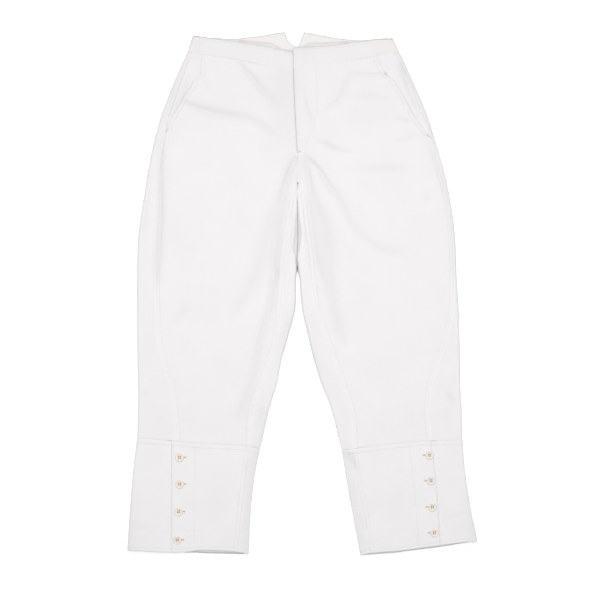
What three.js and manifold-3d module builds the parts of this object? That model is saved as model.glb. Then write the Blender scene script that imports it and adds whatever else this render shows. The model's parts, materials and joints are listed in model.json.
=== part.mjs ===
// Jodhpurs laid flat on a surface, front up: +X is the wearer's left, +Y the waist, +Z up.
// Every length is in millimetres.
import * as THREE from 'three';
import { mergeVertices } from 'three/addons/utils/BufferGeometryUtils.js';
import Module from 'manifold-3d';

// ---------------------------------------------------------------- driving sizes
const CLOTH = 2;                  // one layer of heavy twill
const BAND_CLOTH = 2.6;           // the waistband, pressed double
const SHIELD_CLOTH = 1.4;         // the fly shield
const SEAM_GAP = 0.3;             // between pieces sewn edge to edge
const LAYER_GAP = 0.4;            // between layers that lie on each other
const BACK_LEVEL = CLOTH / 2;     // middle of the back layer, flat on the surface
const FRONT_LEVEL = 6;            // middle of the front layer where it lies on the back
const ROLL_WIDTH = 4;             // how far a folded edge rounds out sideways
const CROTCH_Y = 205.2;           // the four crotch seams meet here
const FLY_END_Y = 262.5;
const BACK_TAIL = { least: 12, most: 60 };   // columns gather at the centre back above the crotch
const CROTCH_CLEAR = 1.2;         // the front stays this far back where the inseams begin
const CUFF_HEIGHT = 208;
const BUTTON_DIAMETER = 15;
const BUTTON_HEIGHT = 2.8;

// ---------------------------------------------------------------- tables
// Rows run down the leg. outer and inner are its two edges, side is the side seam,
// inseam is the seam along the inner leg: above the crotch inseam is the centre front and
// inner the centre back. edge and thigh are the levels of the cloth at the two edges.
const LEG_COLUMNS = ['y', 'outer', 'side', 'inseam', 'inner', 'edge', 'thigh'];
const RIGHT_LEG = table(LEG_COLUMNS, [
  [445.7, -212.9, -205.0, -14.4, -9.4, 6.2, 6.0],
  [395.7, -235.5, -223.1, -13.0, -9.2, 6.8, 6.0],
  [340.2, -257.7, -242.4, -11.7, -9.0, 7.0, 6.0],
  [314.0, -266.1, -250.4, -10.7, -8.8, 7.0, 6.0],
  [288.4, -273.2, -253.4, -9.6, -8.6, 7.2, 6.0],
  [238.5, -283.6, -262.5, -8.2, -8.2, 7.6, 6.2],
  [205.2, -289.2, -264.0, -8.2, -8.2, 7.8, 6.5],
  [192.2, -291.0, -264.2, -11.7, -8.6, 7.8, 7.0],
  [146.0, -298.4, -265.1, -20.9, -10.2, 8.0, 9.0],
  [99.7, -304.0, -267.0, -30.2, -11.5, 8.0, 10.5],
  [35.0, -305.8, -270.7, -36.6, -12.0, 8.0, 10.5],
  [-26.1, -305.8, -269.7, -40.3, -13.0, 7.8, 9.5],
  [-76.0, -305.4, -267.0, -46.8, -25.5, 7.5, 8.5],
  [-122.3, -305.2, -257.7, -59.8, -38.5, 7.2, 8.0],
  [-168.5, -304.0, -242.9, -76.4, -47.7, 7.0, 7.5],
  [-214.8, -304.0, -235.5, -93.1, -63.5, 6.8, 7.0],
  [-266.6, -305.8, -231.8, -98.0, -78.3, 6.4, 6.4],
]);
const LEFT_LEG = table(LEG_COLUMNS, [
  [445.7, 180.2, 170.7, -14.4, -9.4, 6.2, 6.0],
  [395.7, 203.3, 196.1, -13.0, -9.2, 6.8, 6.0],
  [340.2, 227.7, 218.7, -11.7, -9.0, 7.0, 6.0],
  [288.4, 244.6, 238.4, -9.6, -8.6, 7.2, 6.0],
  [238.5, 259.4, 250.7, -8.2, -8.2, 7.6, 6.2],
  [205.2, 267.3, 260.7, -8.2, -8.2, 7.8, 6.5],
  [192.2, 270.1, 264.9, -4.4, -7.6, 7.8, 7.0],
  [146.0, 278.2, 273.2, 2.2, -5.7, 8.0, 9.0],
  [99.7, 283.1, 276.9, 8.7, -5.0, 8.0, 10.5],
  [35.0, 285.5, 279.5, 16.1, -5.0, 8.0, 10.5],
  [-26.1, 289.2, 277.6, 25.3, -0.6, 7.8, 9.5],
  [-76.0, 290.8, 267.4, 42.9, 10.5, 7.5, 8.5],
  [-122.3, 291.8, 252.4, 58.6, 21.6, 7.2, 8.0],
  [-168.5, 292.2, 238.1, 75.3, 36.4, 7.0, 7.5],
  [-214.8, 295.2, 232.5, 91.9, 56.8, 6.8, 7.0],
  [-266.6, 296.4, 238.1, 95.0, 73.4, 6.4, 6.4],
]);

// Cuff rows, down from the cuff seam: side is the free buttonhole edge.
const CUFF_COLUMNS = ['y', 'outer', 'side', 'inseam', 'inner', 'edge', 'thigh'];
const RIGHT_CUFF = table(CUFF_COLUMNS, [
  [0, -305.8, -241.8, -98.6, -78.3, 6.4, 6.4],
  [-60, -313.2, -242.2, -105.0, -88.8, 6.6, 6.6],
  [-130, -318.8, -242.6, -113.0, -95.8, 6.6, 6.6],
  [-CUFF_HEIGHT, -323.9, -242.9, -119.9, -99.5, 6.4, 6.4],
]);
const LEFT_CUFF = table(CUFF_COLUMNS, [
  [0, 296.4, 237.2, 93.8, 73.4, 6.4, 6.4],
  [-60, 301.0, 245.4, 102.0, 81.8, 6.6, 6.6],
  [-130, 310.2, 251.4, 115.0, 93.8, 6.6, 6.6],
  [-CUFF_HEIGHT, 323.8, 255.7, 127.1, 107.7, 6.4, 6.4],
]);

// Waistband rows, up from the waist seam: side is the seam of the front and back bands.
const BAND_COLUMNS = ['y', 'outer', 'side', 'inseam', 'inner', 'edge', 'thigh'];
const BAND_NOMINAL = 30;
const NOTCH_X = -9.4;             // the centre back, where the V is cut
const NOTCH_REACH = 25;
const RIGHT_BAND = table(BAND_COLUMNS, [
  [BAND_NOMINAL, -202.2, -189.8, -15.4, -9.4, 6.0, 6.0],
  [0, -212.9, -189.8, -14.4, -9.4, 6.2, 6.0],
]);
const LEFT_BAND = table(BAND_COLUMNS, [
  [BAND_NOMINAL, 167.4, 129.9, -15.4, -9.4, 6.0, 6.0],
  [0, 180.2, 138.0, -14.4, -9.4, 6.2, 6.0],
]);

// Edges and seams that run across, as y over x from the outer edge to the centre.
const WAIST_SEAM = {
  right: [[-212.9, 447.3], [-158.4, 439.2], [-117.7, 432.7], [-85.7, 425.3], [-32.0, 417.0], [-9, 416.1]],
  left: [[180.2, 447.5], [134.5, 439.2], [99.3, 433.6], [71.6, 428.3], [47.5, 425.3], [-16, 418.6]],
};
const BACK_WAIST_SEAM = {
  right: [[-212.9, 447.3], [-9.4, 436]],
  left: [[180.2, 447.5], [-9.4, 436]],
};
const FRONT_WAIST_TOP = {
  right: [[-189.8, 475.2], [-172.6, 472.6], [-117.1, 466.2], [-72.7, 462.3], [-46.8, 454.0], [-15.4, 448.4]],
  left: [[138.0, 470.2], [95.6, 465.1], [62.3, 459.4], [23.5, 456.8], [-16, 455.8]],
};
const BACK_WAIST_TOP = {
  right: [[-204, 479.6], [-172.6, 475.0], [-126.4, 471.2], [-74.6, 477.1], [-32.4, 484.0],
    [-26.6, 470.1], [-20.5, 462.3], [-9.4, 457]],
  left: [[169, 474.0], [151.1, 473.8], [106.7, 468.6], [71.6, 471.0], [34.6, 478.0], [3.0, 484.0],
    [-2.0, 472.0], [-5.4, 464.4], [-9.4, 457.5]],
};
const CUFF_SEAM = {
  right: [[-305.8, -266.6], [-241.8, -271.6], [-185.6, -277.1], [-115.3, -280.3], [-78.3, -285.8]],
  left: [[296.4, -270.3], [227.0, -271.6], [151.1, -279.5], [73.4, -289.2]],
};
const HEM = {
  right: [[-323.9, -474.5], [-241.8, -479.0], [-193.7, -477.1], [-99.5, -481.2]],
  left: [[323.8, -457.9], [254.7, -469.2], [180.7, -478.4], [107.7, -484.0]],
};

// The pocket edge, as x over y: sewn down to its first bend, then open to its foot.
const POCKET_EDGE = {
  right: [[445.7, -189.8], [407.2, -188.3], [396.8, -199.4], [381.3, -206.3], [367.6, -216.8],
    [348.5, -227.2], [331.3, -239.2], [313.9, -247.9], [300, -251.6], [288.4, -253.4]],
  left: [[445.7, 137.6], [407.2, 156.7], [396.8, 167.2], [379.6, 179.3], [360.6, 189.6],
    [334.7, 203.5], [313.9, 217.4], [296.7, 229.4], [288.4, 236.2]],
};
const POCKET = {
  right: { top: 407.2, foot: 300, facingFoot: 305, lift: 3.4, overlap: 8 },
  left: { top: 407.2, foot: 290, facingFoot: 292, lift: 3.0, overlap: 5 },
};
const POCKET_SPREAD = 45;         // the lifted pocket edge settles over this width
const OVERLAP_NEEDS = 2.7;        // lift that the pocket side piece needs to run under

const FLY_LIFT = 1.2;             // the left fly edge rises by this over the right front
const FLY_SPREAD = 14;
const SHIELD_BEHIND = 8;          // the shield reaches this far behind the right front
const SHIELD_UNDER = 36;          // and this far under the left front

const UNDERLAP = 42;              // of the cuff back below the buttonhole band
const UNDERLAP_DROP = CLOTH + LAYER_GAP;
const UNDERLAP_RISE = 16;

// The largest creases: a spine, a half width and a height, troughs below zero.
const FOLDS = [
  { spine: [[-21, 250], [-36, 181], [-47, 78], [-56, -11], [-93, -141], [-123, -237]], width: 14, height: -2.0 },
  { spine: [[-34, 200], [-62, 111], [-89, 15], [-110, -21]], width: 20, height: -1.0 },
  { spine: [[-117, 442], [-47, 361]], width: 12, height: -1.6 },
  { spine: [[-213, 355], [-165, 340], [-100, 331], [-60, 309]], width: 12, height: -1.8 },
  { spine: [[20, 225], [22, 181], [36, 127], [53, 26], [90, -76]], width: 17, height: -2.0 },
  { spine: [[14, 248], [36, 231], [70, 181], [101, 122], [131, 92], [179, 78]], width: 11, height: -1.8 },
  { spine: [[45, 196], [66, 130], [92, 70]], width: 13, height: 2.2 },
  { spine: [[92, 403], [152, 403]], width: 10, height: -1.2 },
];

// Grid rows of the panels, from the waist seam to the cuff seam.
const PANEL_ROWS = [445.7, 426, 407.2, 396.8, 381.3, 365, 348.5, 331.3, 316, 305, 292, 280, 262.5, 235,
  CROTCH_Y, 196, 178, 150, 115, 78, 40, 0, -40, -76, -110, -145, -180, -215, -245, -266.6];
const WAIST_BLEND = 100;          // the waist seam's curve fades out down the panel
const CUFF_BLEND = 90;

const SIDES = [
  { name: 'right', out: -1, leg: RIGHT_LEG, cuff: RIGHT_CUFF, band: RIGHT_BAND },
  { name: 'left', out: 1, leg: LEFT_LEG, cuff: LEFT_CUFF, band: LEFT_BAND },
];

// Buttons down each cuff, from the top.
const BUTTONS = {
  right: [[-227.2, -302.1], [-226.8, -351.7], [-228.7, -402.6], [-231.2, -454.9]],
  left: [[235.1, -298.2], [237.9, -345.4], [240.5, -394.1], [244.2, -441.8]],
};

// ---------------------------------------------------------------- materials
const TWILL = { color: 0xf2f1ef, roughness: 0.92, metalness: 0 };
const INNER_TWILL = { color: 0xe9e7e4, roughness: 0.95, metalness: 0 };
const BUTTON_STUFF = { color: 0xefe6d3, roughness: 0.35, metalness: 0 };

// ---------------------------------------------------------------- small maths
function table(columns, rows) {
  return rows.map((row) => Object.fromEntries(columns.map((name, i) => [name, row[i]])));
}

function clamp(value, low, high) {
  return Math.min(high, Math.max(low, value));
}

function lerp(a, b, t) {
  return a + (b - a) * t;
}

function ease(t) {
  const u = clamp(t, 0, 1);
  return u * u * (3 - 2 * u);
}

// A smooth value of one column at height y, the rows running down.
function valueAt(rows, name, y) {
  let i = 0;
  while (i < rows.length - 2 && y < rows[i + 1].y) i += 1;
  const [a, b] = [rows[i], rows[i + 1]];
  const before = rows[Math.max(i - 1, 0)];
  const after = rows[Math.min(i + 2, rows.length - 1)];
  const span = b.y - a.y;
  const t = clamp((y - a.y) / span, 0, 1);
  const slopeA = (b[name] - before[name]) / (b.y - before.y) * span;
  const slopeB = (after[name] - a[name]) / (after.y - a.y) * span;
  const t2 = t * t;
  const t3 = t2 * t;
  return (2 * t3 - 3 * t2 + 1) * a[name] + (t3 - 2 * t2 + t) * slopeA
    + (3 * t2 - 2 * t3) * b[name] + (t3 - t2) * slopeB;
}

// Straight interpolation along a list of [key, value] pairs that runs either way.
function along(pairs, key) {
  const rising = pairs[1][0] > pairs[0][0];
  let i = 0;
  while (i < pairs.length - 2 && (rising ? key > pairs[i + 1][0] : key < pairs[i + 1][0])) i += 1;
  const [a, b] = [pairs[i], pairs[i + 1]];
  return lerp(a[1], b[1], clamp((key - a[0]) / (b[0] - a[0]), 0, 1));
}

// How near a point lies to a spine, faded at both ends of it.
function foldHeight(fold, x, y) {
  let best = Infinity;
  let place = 0;
  const last = fold.spine.length - 1;
  for (let i = 0; i < last; i += 1) {
    const [ax, ay] = fold.spine[i];
    const [bx, by] = fold.spine[i + 1];
    const t = clamp(((x - ax) * (bx - ax) + (y - ay) * (by - ay)) / ((bx - ax) ** 2 + (by - ay) ** 2), 0, 1);
    const distance = Math.hypot(x - lerp(ax, bx, t), y - lerp(ay, by, t));
    if (distance < best) {
      best = distance;
      place = (i + t) / last;
    }
  }
  const fade = ease(place * 4) * ease((1 - place) * 4);
  return fold.height * Math.exp(-((best / fold.width) ** 2)) * fade;
}

// ---------------------------------------------------------------- the form
// A form is one flattened tube of cloth. Its section is walked from the seam on the
// inner front, out over the front, round the outer edge, back underneath, and round the
// inner edge to where it began. Across it, q runs outward from the centre: q = out * x.

function level(form, q, rowY, y) {
  const fromOuter = form.value('outer', rowY) * form.out - ROLL_WIDTH - q;
  const fromInner = q - form.value('inner', rowY) * form.out - ROLL_WIDTH;
  const swell = (form.value('edge', rowY) - FRONT_LEVEL) * Math.exp(-((Math.max(fromOuter, 0) / 30) ** 2));
  const thigh = (form.value('thigh', rowY) - FRONT_LEVEL) * Math.exp(-((Math.max(fromInner, 0) / 32) ** 2));
  const settle = ease(Math.max(fromOuter, 0) / 12) * (form.closed(rowY) ? ease(Math.max(fromInner, 0) / 10) : 1);
  const folds = form.folded ? FOLDS.reduce((sum, fold) => sum + foldHeight(fold, q * form.out, y), 0) : 0;
  return FRONT_LEVEL + swell + thigh + folds * settle;
}

// The inseam, kept clear of the folded inner edge just below the crotch.
function inseamPlace(form, rowY) {
  const seam = form.value('inseam', rowY) * form.out;
  if (!form.closed(rowY)) return seam;
  const foldedEdge = form.value('inner', rowY) * form.out + CLOTH / 2 + form.innerRoll(rowY);
  return Math.max(seam, foldedEdge + 0.5);
}

function sectionPath(form, rowY, topLevel, startQ) {
  const outerQ = form.value('outer', rowY) * form.out - CLOTH / 2 - ROLL_WIDTH;
  const innerEdge = form.value('inner', rowY) * form.out;
  const closed = form.closed(rowY);
  const innerRoll = form.innerRoll(rowY);
  const innerQ = closed ? innerEdge + CLOTH / 2 + innerRoll : innerEdge;
  const inseamQ = inseamPlace(form, rowY);
  const points = [];
  const roll = (q, width, from, to) => {
    const middle = (from + to) / 2;
    const half = (from - to) / 2;
    const steps = 24;
    for (let k = 1; k <= steps; k += 1) {
      const angle = Math.PI * k / steps;
      points.push([q + width * Math.sin(angle), middle + half * Math.cos(angle)]);
    }
  };
  const topSteps = 90;
  for (let k = 0; k <= topSteps; k += 1) {
    const q = lerp(startQ, outerQ, k / topSteps);
    points.push([q, topLevel(q)]);
  }
  const outerTop = points.length - 1;
  roll(outerQ, ROLL_WIDTH, topLevel(outerQ), BACK_LEVEL);
  const bottomFrom = points.length - 1;
  points.push([innerQ, BACK_LEVEL]);
  const bottomTo = points.length - 1;
  let innerTop = bottomTo;
  if (closed) {
    roll(innerQ, -innerRoll, BACK_LEVEL, form.stripLevel(innerQ, rowY));
    innerTop = points.length - 1;
    const stripSteps = 12;
    for (let k = 1; k <= stripSteps; k += 1) {
      const q = lerp(innerQ, inseamQ, k / stripSteps);
      points.push([q, form.stripLevel(q, rowY)]);
    }
  }
  const lengths = [0];
  for (let i = 1; i < points.length; i += 1) {
    lengths.push(lengths[i - 1] + Math.hypot(points[i][0] - points[i - 1][0], points[i][1] - points[i - 1][1]));
  }
  return {
    total: lengths.at(-1),
    outerTop: lengths[outerTop],
    bottomFrom: lengths[bottomFrom],
    bottomTo: lengths[bottomTo],
    innerTop: lengths[innerTop],
    middle: (lengths[outerTop] + lengths[bottomFrom]) / 2,
    // Where the walk out over the front reaches q, on the front or on the upper half of the roll.
    reach(q) {
      let i = 0;
      while (i < bottomFrom && points[i + 1][0] < q && points[i + 1][0] > points[i][0]) i += 1;
      const step = points[i + 1][0] - points[i][0];
      return lerp(lengths[i], lengths[i + 1], step > 0 ? clamp((q - points[i][0]) / step, 0, 1) : 0);
    },
    at(s) {
      let i = 0;
      while (i < points.length - 2 && lengths[i + 1] < s) i += 1;
      const t = (s - lengths[i]) / (lengths[i + 1] - lengths[i]);
      const [a, b] = [points[i], points[i + 1]];
      const size = lengths[i + 1] - lengths[i];
      return {
        q: lerp(a[0], b[0], t),
        z: lerp(a[1], b[1], t),
        across: new THREE.Vector3((b[0] - a[0]) / size * form.out, 0, (b[1] - a[1]) / size),
      };
    },
  };
}

// Positions spread over [from, to], by a list of fractions.
function spread(from, to, fractions) {
  return fractions.map((f) => lerp(from, to, f));
}

// A run of cloth round the outer edge, underneath, and round the inner edge: its columns
// keep to the folded edges, so the flat stretches take few.
function wrapColumns(path, from, to, closed, openTail = 0) {
  const outerFrom = Math.max(path.outerTop, lerp(from, path.bottomFrom, 0.25));
  const bottomTo = closed ? path.bottomTo : to - openTail;
  const innerFrom = closed ? Math.min(path.innerTop, lerp(to, path.bottomTo, 0.25)) : to - openTail / 4;
  return [
    ...spread(from, outerFrom, [0, 0.4, 0.75]),
    ...spread(outerFrom, path.bottomFrom, [0, 0.2, 0.4, 0.6, 0.8]),
    ...spread(path.bottomFrom, bottomTo, [0, 0.33, 0.67]),
    ...spread(bottomTo, innerFrom, [0, 0.2, 0.4, 0.6, 0.8]),
    ...spread(innerFrom, to, [0, 0.5, 1]),
  ];
}

function gridRow(form, path, rowY, positions) {
  return positions.map((s) => {
    const spot = path.at(s);
    const under = s > path.middle && s < (path.bottomTo + path.innerTop) / 2 + 0.01;
    const x = spot.q * form.out;
    return { point: new THREE.Vector3(x, form.place(x, rowY, under), spot.z), across: spot.across };
  });
}

// ---------------------------------------------------------------- solids
function clothGeometry(grid, thickness) {
  const rows = grid.length;
  const columns = grid[0].length;
  const faces = [[], []];
  for (let j = 0; j < rows; j += 1) {
    for (let i = 0; i < columns; i += 1) {
      const above = grid[Math.max(j - 1, 0)][i].point;
      const below = grid[Math.min(j + 1, rows - 1)][i].point;
      const down = new THREE.Vector3().subVectors(below, above);
      const normal = new THREE.Vector3().crossVectors(grid[j][i].across, down).normalize();
      for (const [k, half] of [[0, thickness / 2], [1, -thickness / 2]]) {
        faces[k].push(grid[j][i].point.clone().addScaledVector(normal, half));
      }
    }
  }
  const count = rows * columns;
  const index = [];
  const quad = (a, b, c, d) => index.push(a, b, c, a, c, d);
  for (let j = 0; j < rows - 1; j += 1) {
    for (let i = 0; i < columns - 1; i += 1) {
      const a = j * columns + i;
      const c = a + columns + 1;
      quad(a, a + 1, c, a + columns);
      quad(count + a, count + a + columns, count + c, count + a + 1);
    }
  }
  const rim = (a, b) => quad(a, count + a, count + b, b);
  for (let i = 0; i < columns - 1; i += 1) {
    rim(i, i + 1);
    rim((rows - 1) * columns + i + 1, (rows - 1) * columns + i);
  }
  for (let j = 0; j < rows - 1; j += 1) {
    rim((j + 1) * columns, j * columns);
    rim((j + 1) * columns - 1, (j + 2) * columns - 1);
  }
  const positions = faces.flat().flatMap((p) => [p.x, p.y, p.z]);
  if (signedVolume(positions, index) < 0) {
    for (let k = 0; k < index.length; k += 3) [index[k], index[k + 1]] = [index[k + 1], index[k]];
  }
  const geometry = new THREE.BufferGeometry();
  geometry.setAttribute('position', new THREE.Float32BufferAttribute(positions, 3));
  geometry.setIndex(index);
  geometry.computeVertexNormals();
  return geometry;
}

function signedVolume(positions, index) {
  const corner = (k) => new THREE.Vector3().fromArray(positions, index[k] * 3);
  let volume = 0;
  for (let k = 0; k < index.length; k += 3) {
    volume += corner(k).dot(corner(k + 1).cross(corner(k + 2))) / 6;
  }
  return volume;
}

function named(name, geometry, look) {
  const mesh = new THREE.Mesh(geometry, new THREE.MeshStandardMaterial(look));
  mesh.name = name;
  return mesh;
}

// ---------------------------------------------------------------- leg panels
function pocketMouth(side, y) {
  const pocket = POCKET[side.name];
  const t = clamp((pocket.top - y) / (pocket.top - pocket.foot), 0, 1);
  return Math.sin(Math.PI * t) ** 0.6;
}

function pocketX(side, y) {
  return along(POCKET_EDGE[side.name], y);
}

function legForm(side) {
  const nominalTop = PANEL_ROWS[0];
  const nominalFoot = PANEL_ROWS.at(-1);
  const form = {
    out: side.out,
    folded: true,
    value: (name, y) => valueAt(side.leg, name, y),
    closed: (y) => y < CROTCH_Y - 1,
    innerRoll: (y) => clamp((CROTCH_Y - y) / 12, 0.8, ROLL_WIDTH),
    place(x, rowY, under) {
      const seam = under ? BACK_WAIST_SEAM[side.name] : WAIST_SEAM[side.name];
      const waist = (along(seam, x) - nominalTop) * ease(1 - (nominalTop - rowY) / WAIST_BLEND);
      const cuff = (along(CUFF_SEAM[side.name], x) - nominalFoot) * ease(1 - (rowY - nominalFoot) / CUFF_BLEND);
      return rowY + waist + cuff;
    },
    stripLevel: (q, y) => level(form, q, y, form.place(q * side.out, y, false)),
  };
  return form;
}

function flyLift(side, q, rowY) {
  if (side.name !== 'left') return 0;
  const fromEdge = q - valueAt(side.leg, 'inseam', rowY) * side.out;
  return FLY_LIFT * ease(1 - fromEdge / FLY_SPREAD) * ease((rowY - FLY_END_Y + 20) / 20);
}

function pocketLift(side, q, rowY) {
  const fromEdge = pocketX(side, rowY) * side.out - q;
  if (fromEdge < -1 || fromEdge > POCKET_SPREAD) return 0;
  const fall = Math.cos(Math.PI / 2 * Math.max(fromEdge, 0) / POCKET_SPREAD) ** 2;
  return POCKET[side.name].lift * pocketMouth(side, rowY) * fall;
}

function frontColumns(from, to) {
  const length = to - from;
  return [0, 8, 20, 42].map((d) => from + d)
    .concat(spread(from + 42, to - 45, [0.22, 0.44, 0.66, 0.88]))
    .concat([42, 20, 9, 0].map((d) => from + length - d));
}

function legPanels(side) {
  const form = legForm(side);
  const front = [];
  const back = [];
  const facing = [];
  for (const rowY of PANEL_ROWS) {
    const startQ = inseamPlace(form, rowY);
    const plain = (q) => form.stripLevel(q, rowY);
    const base = sectionPath(form, rowY, plain, startQ);
    const open = rowY > POCKET[side.name].foot;
    const lifted = (q) => plain(q) + flyLift(side, q, rowY) + (open ? pocketLift(side, q, rowY) : 0);
    const top = sectionPath(form, rowY, lifted, startQ);
    const sideS = base.reach(form.value('side', rowY) * side.out);
    const pocketQ = pocketX(side, rowY) * side.out;
    const frontEnd = open ? top.reach(pocketQ) : top.reach(form.value('side', rowY) * side.out);
    const crotchClear = CROTCH_CLEAR * ease(1 - Math.abs(rowY - CROTCH_Y) / 20);
    front.push(gridRow(form, top, rowY, frontColumns(SEAM_GAP / 2 + crotchClear, frontEnd - SEAM_GAP / 2)));
    const tail = clamp(rowY - CROTCH_Y, BACK_TAIL.least, BACK_TAIL.most);
    const backEnd = base.total - SEAM_GAP / 2;
    back.push(gridRow(form, base, rowY, wrapColumns(base, sideS + SEAM_GAP / 2, backEnd, form.closed(rowY), tail)));
    if (rowY >= POCKET[side.name].facingFoot) {
      const lift = POCKET[side.name].lift * pocketMouth(side, rowY);
      const under = POCKET[side.name].overlap * ease((lift - OVERLAP_NEEDS) / 0.3);
      const inner = base.reach(pocketQ - under) + SEAM_GAP / 2;
      facing.push(gridRow(form, base, rowY, spread(inner, sideS - SEAM_GAP / 2, [0, 0.33, 0.67, 1])));
    }
  }
  return [
    named(`front_panel_${side.name}`, clothGeometry(front, CLOTH), TWILL),
    named(`back_panel_${side.name}`, clothGeometry(back, CLOTH), TWILL),
    named(`pocket_facing_${side.name}`, clothGeometry(facing, CLOTH), TWILL),
  ];
}

// ---------------------------------------------------------------- waistband
function bandForm(side) {
  const form = {
    out: side.out,
    folded: false,
    value: (name, y) => valueAt(side.band, name, y),
    closed: () => false,
    innerRoll: () => ROLL_WIDTH,
    place(x, rowY, under) {
      const seam = (under ? BACK_WAIST_SEAM : WAIST_SEAM)[side.name];
      const top = (under ? BACK_WAIST_TOP : FRONT_WAIST_TOP)[side.name];
      return lerp(along(seam, x) + SEAM_GAP, along(top, x), rowY / BAND_NOMINAL);
    },
    stripLevel: (q, y) => level(form, q, y, y),
  };
  return form;
}

function bandPieces(side) {
  const rows = [0, 0.5, 1].map((t) => t * BAND_NOMINAL);
  const notch = BACK_WAIST_TOP[side.name].filter(([x]) => Math.abs(x - NOTCH_X) < NOTCH_REACH).map(([x]) => x * side.out);
  const front = [];
  const back = [];
  const frontForm = bandForm(side);
  const backForm = bandForm(side);
  for (const rowY of rows) {
    const startQ = frontForm.value('inseam', rowY) * side.out;
    const sideQ = frontForm.value('side', rowY) * side.out;
    const lifted = (q) => frontForm.stripLevel(q, rowY) + flyLift(side, q, PANEL_ROWS[0]);
    const top = sectionPath(frontForm, rowY, lifted, startQ);
    const base = sectionPath(backForm, rowY, (q) => backForm.stripLevel(q, rowY), startQ);
    const fractions = [0, 0.04, 0.1, 0.2, 0.32, 0.46, 0.6, 0.74, 0.88, 1];
    front.push(gridRow(frontForm, top, rowY, spread(SEAM_GAP / 2, top.reach(sideQ) - SEAM_GAP / 2, fractions)));
    const from = base.reach(sideQ) + SEAM_GAP / 2;
    const underAt = (q) => base.bottomTo - (q - backForm.value('inner', rowY) * side.out);
    back.push(gridRow(backForm, base, rowY, [
      ...spread(from, base.outerTop, [0, 0.5]),
      ...spread(base.outerTop, base.bottomFrom, [0, 0.2, 0.4, 0.6, 0.8, 1]),
      ...spread(base.bottomFrom, underAt(notch[0]), [0.2, 0.4, 0.6, 0.8]),
      ...notch.slice(0, -1).map(underAt),
      base.total - SEAM_GAP / 2,
    ]));
  }
  return [
    named(`waistband_front_${side.name}`, clothGeometry(front, BAND_CLOTH), TWILL),
    named(`waistband_back_${side.name}`, clothGeometry(back, CLOTH), TWILL),
  ];
}

function flyShield() {
  const side = SIDES[0];
  const levelZ = BACK_LEVEL + CLOTH / 2 + LAYER_GAP + SHIELD_CLOTH / 2;
  const grid = [FLY_END_Y - 4, 300, 340, 380, 410, 430, 444].map((y) => {
    const edge = valueAt(side.leg, 'inseam', y);
    return [-SHIELD_BEHIND, 0, SHIELD_UNDER / 2, SHIELD_UNDER].map((d) => ({
      point: new THREE.Vector3(edge + d, y, levelZ),
      across: new THREE.Vector3(1, 0, 0),
    }));
  });
  return named('fly_shield', clothGeometry(grid, SHIELD_CLOTH), INNER_TWILL);
}

// ---------------------------------------------------------------- cuffs
function cuffForm(side) {
  const form = {
    out: side.out,
    folded: false,
    value: (name, y) => valueAt(side.cuff, name, y),
    closed: () => true,
    innerRoll: () => ROLL_WIDTH,
    place(x, rowY) {
      const top = along(CUFF_SEAM[side.name], x) - SEAM_GAP;
      return lerp(top, along(HEM[side.name], x), -rowY / CUFF_HEIGHT);
    },
    stripLevel: (q, y) => level(form, q, y, y),
  };
  return form;
}

function cuffPieces(side) {
  const form = cuffForm(side);
  const front = [];
  const back = [];
  for (const t of [0, 0.25, 0.5, 0.75, 1]) {
    const rowY = -t * CUFF_HEIGHT;
    const inseamQ = inseamPlace(form, rowY);
    const edgeQ = form.value('side', rowY) * side.out;
    const plain = (q) => form.stripLevel(q, rowY);
    const dropped = (q) => plain(q) - UNDERLAP_DROP * ease(1 - (q - edgeQ - 2) / UNDERLAP_RISE);
    const top = sectionPath(form, rowY, plain, inseamQ);
    front.push(gridRow(form, top, rowY,
      spread(SEAM_GAP / 2, top.reach(edgeQ), [0, 0.08, 0.25, 0.45, 0.65, 0.85, 1])));
    const under = sectionPath(form, rowY, dropped, edgeQ - UNDERLAP);
    const rise = under.reach(edgeQ + UNDERLAP_RISE + 2);
    back.push(gridRow(form, under, rowY, [
      ...spread(0, under.reach(edgeQ + 2), [0, 0.5]),
      ...spread(under.reach(edgeQ + 2), rise, [0, 0.25, 0.5, 0.75]),
      ...wrapColumns(under, rise, under.total - SEAM_GAP / 2, true),
    ]));
  }
  return [
    named(`cuff_front_${side.name}`, clothGeometry(front, CLOTH), TWILL),
    named(`cuff_back_${side.name}`, clothGeometry(back, CLOTH), TWILL),
  ];
}

// ---------------------------------------------------------------- buttons
const wasm = await Module();
wasm.setup();

function toManifold(geometry) {
  const plain = geometry.index ? geometry.clone() : geometry;
  plain.deleteAttribute('normal');
  plain.deleteAttribute('uv');
  const merged = mergeVertices(plain, 1e-4);
  const vertProperties = new Float32Array(merged.attributes.position.array);
  const triVerts = new Uint32Array(merged.index.array);
  return new wasm.Manifold(new wasm.Mesh({ numProp: 3, vertProperties, triVerts }));
}

function fromManifold(solid) {
  const mesh = solid.getMesh();
  const geometry = new THREE.BufferGeometry();
  geometry.setAttribute('position', new THREE.Float32BufferAttribute(mesh.vertProperties, 3));
  geometry.setIndex(Array.from(mesh.triVerts));
  geometry.computeVertexNormals();
  return geometry;
}

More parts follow.
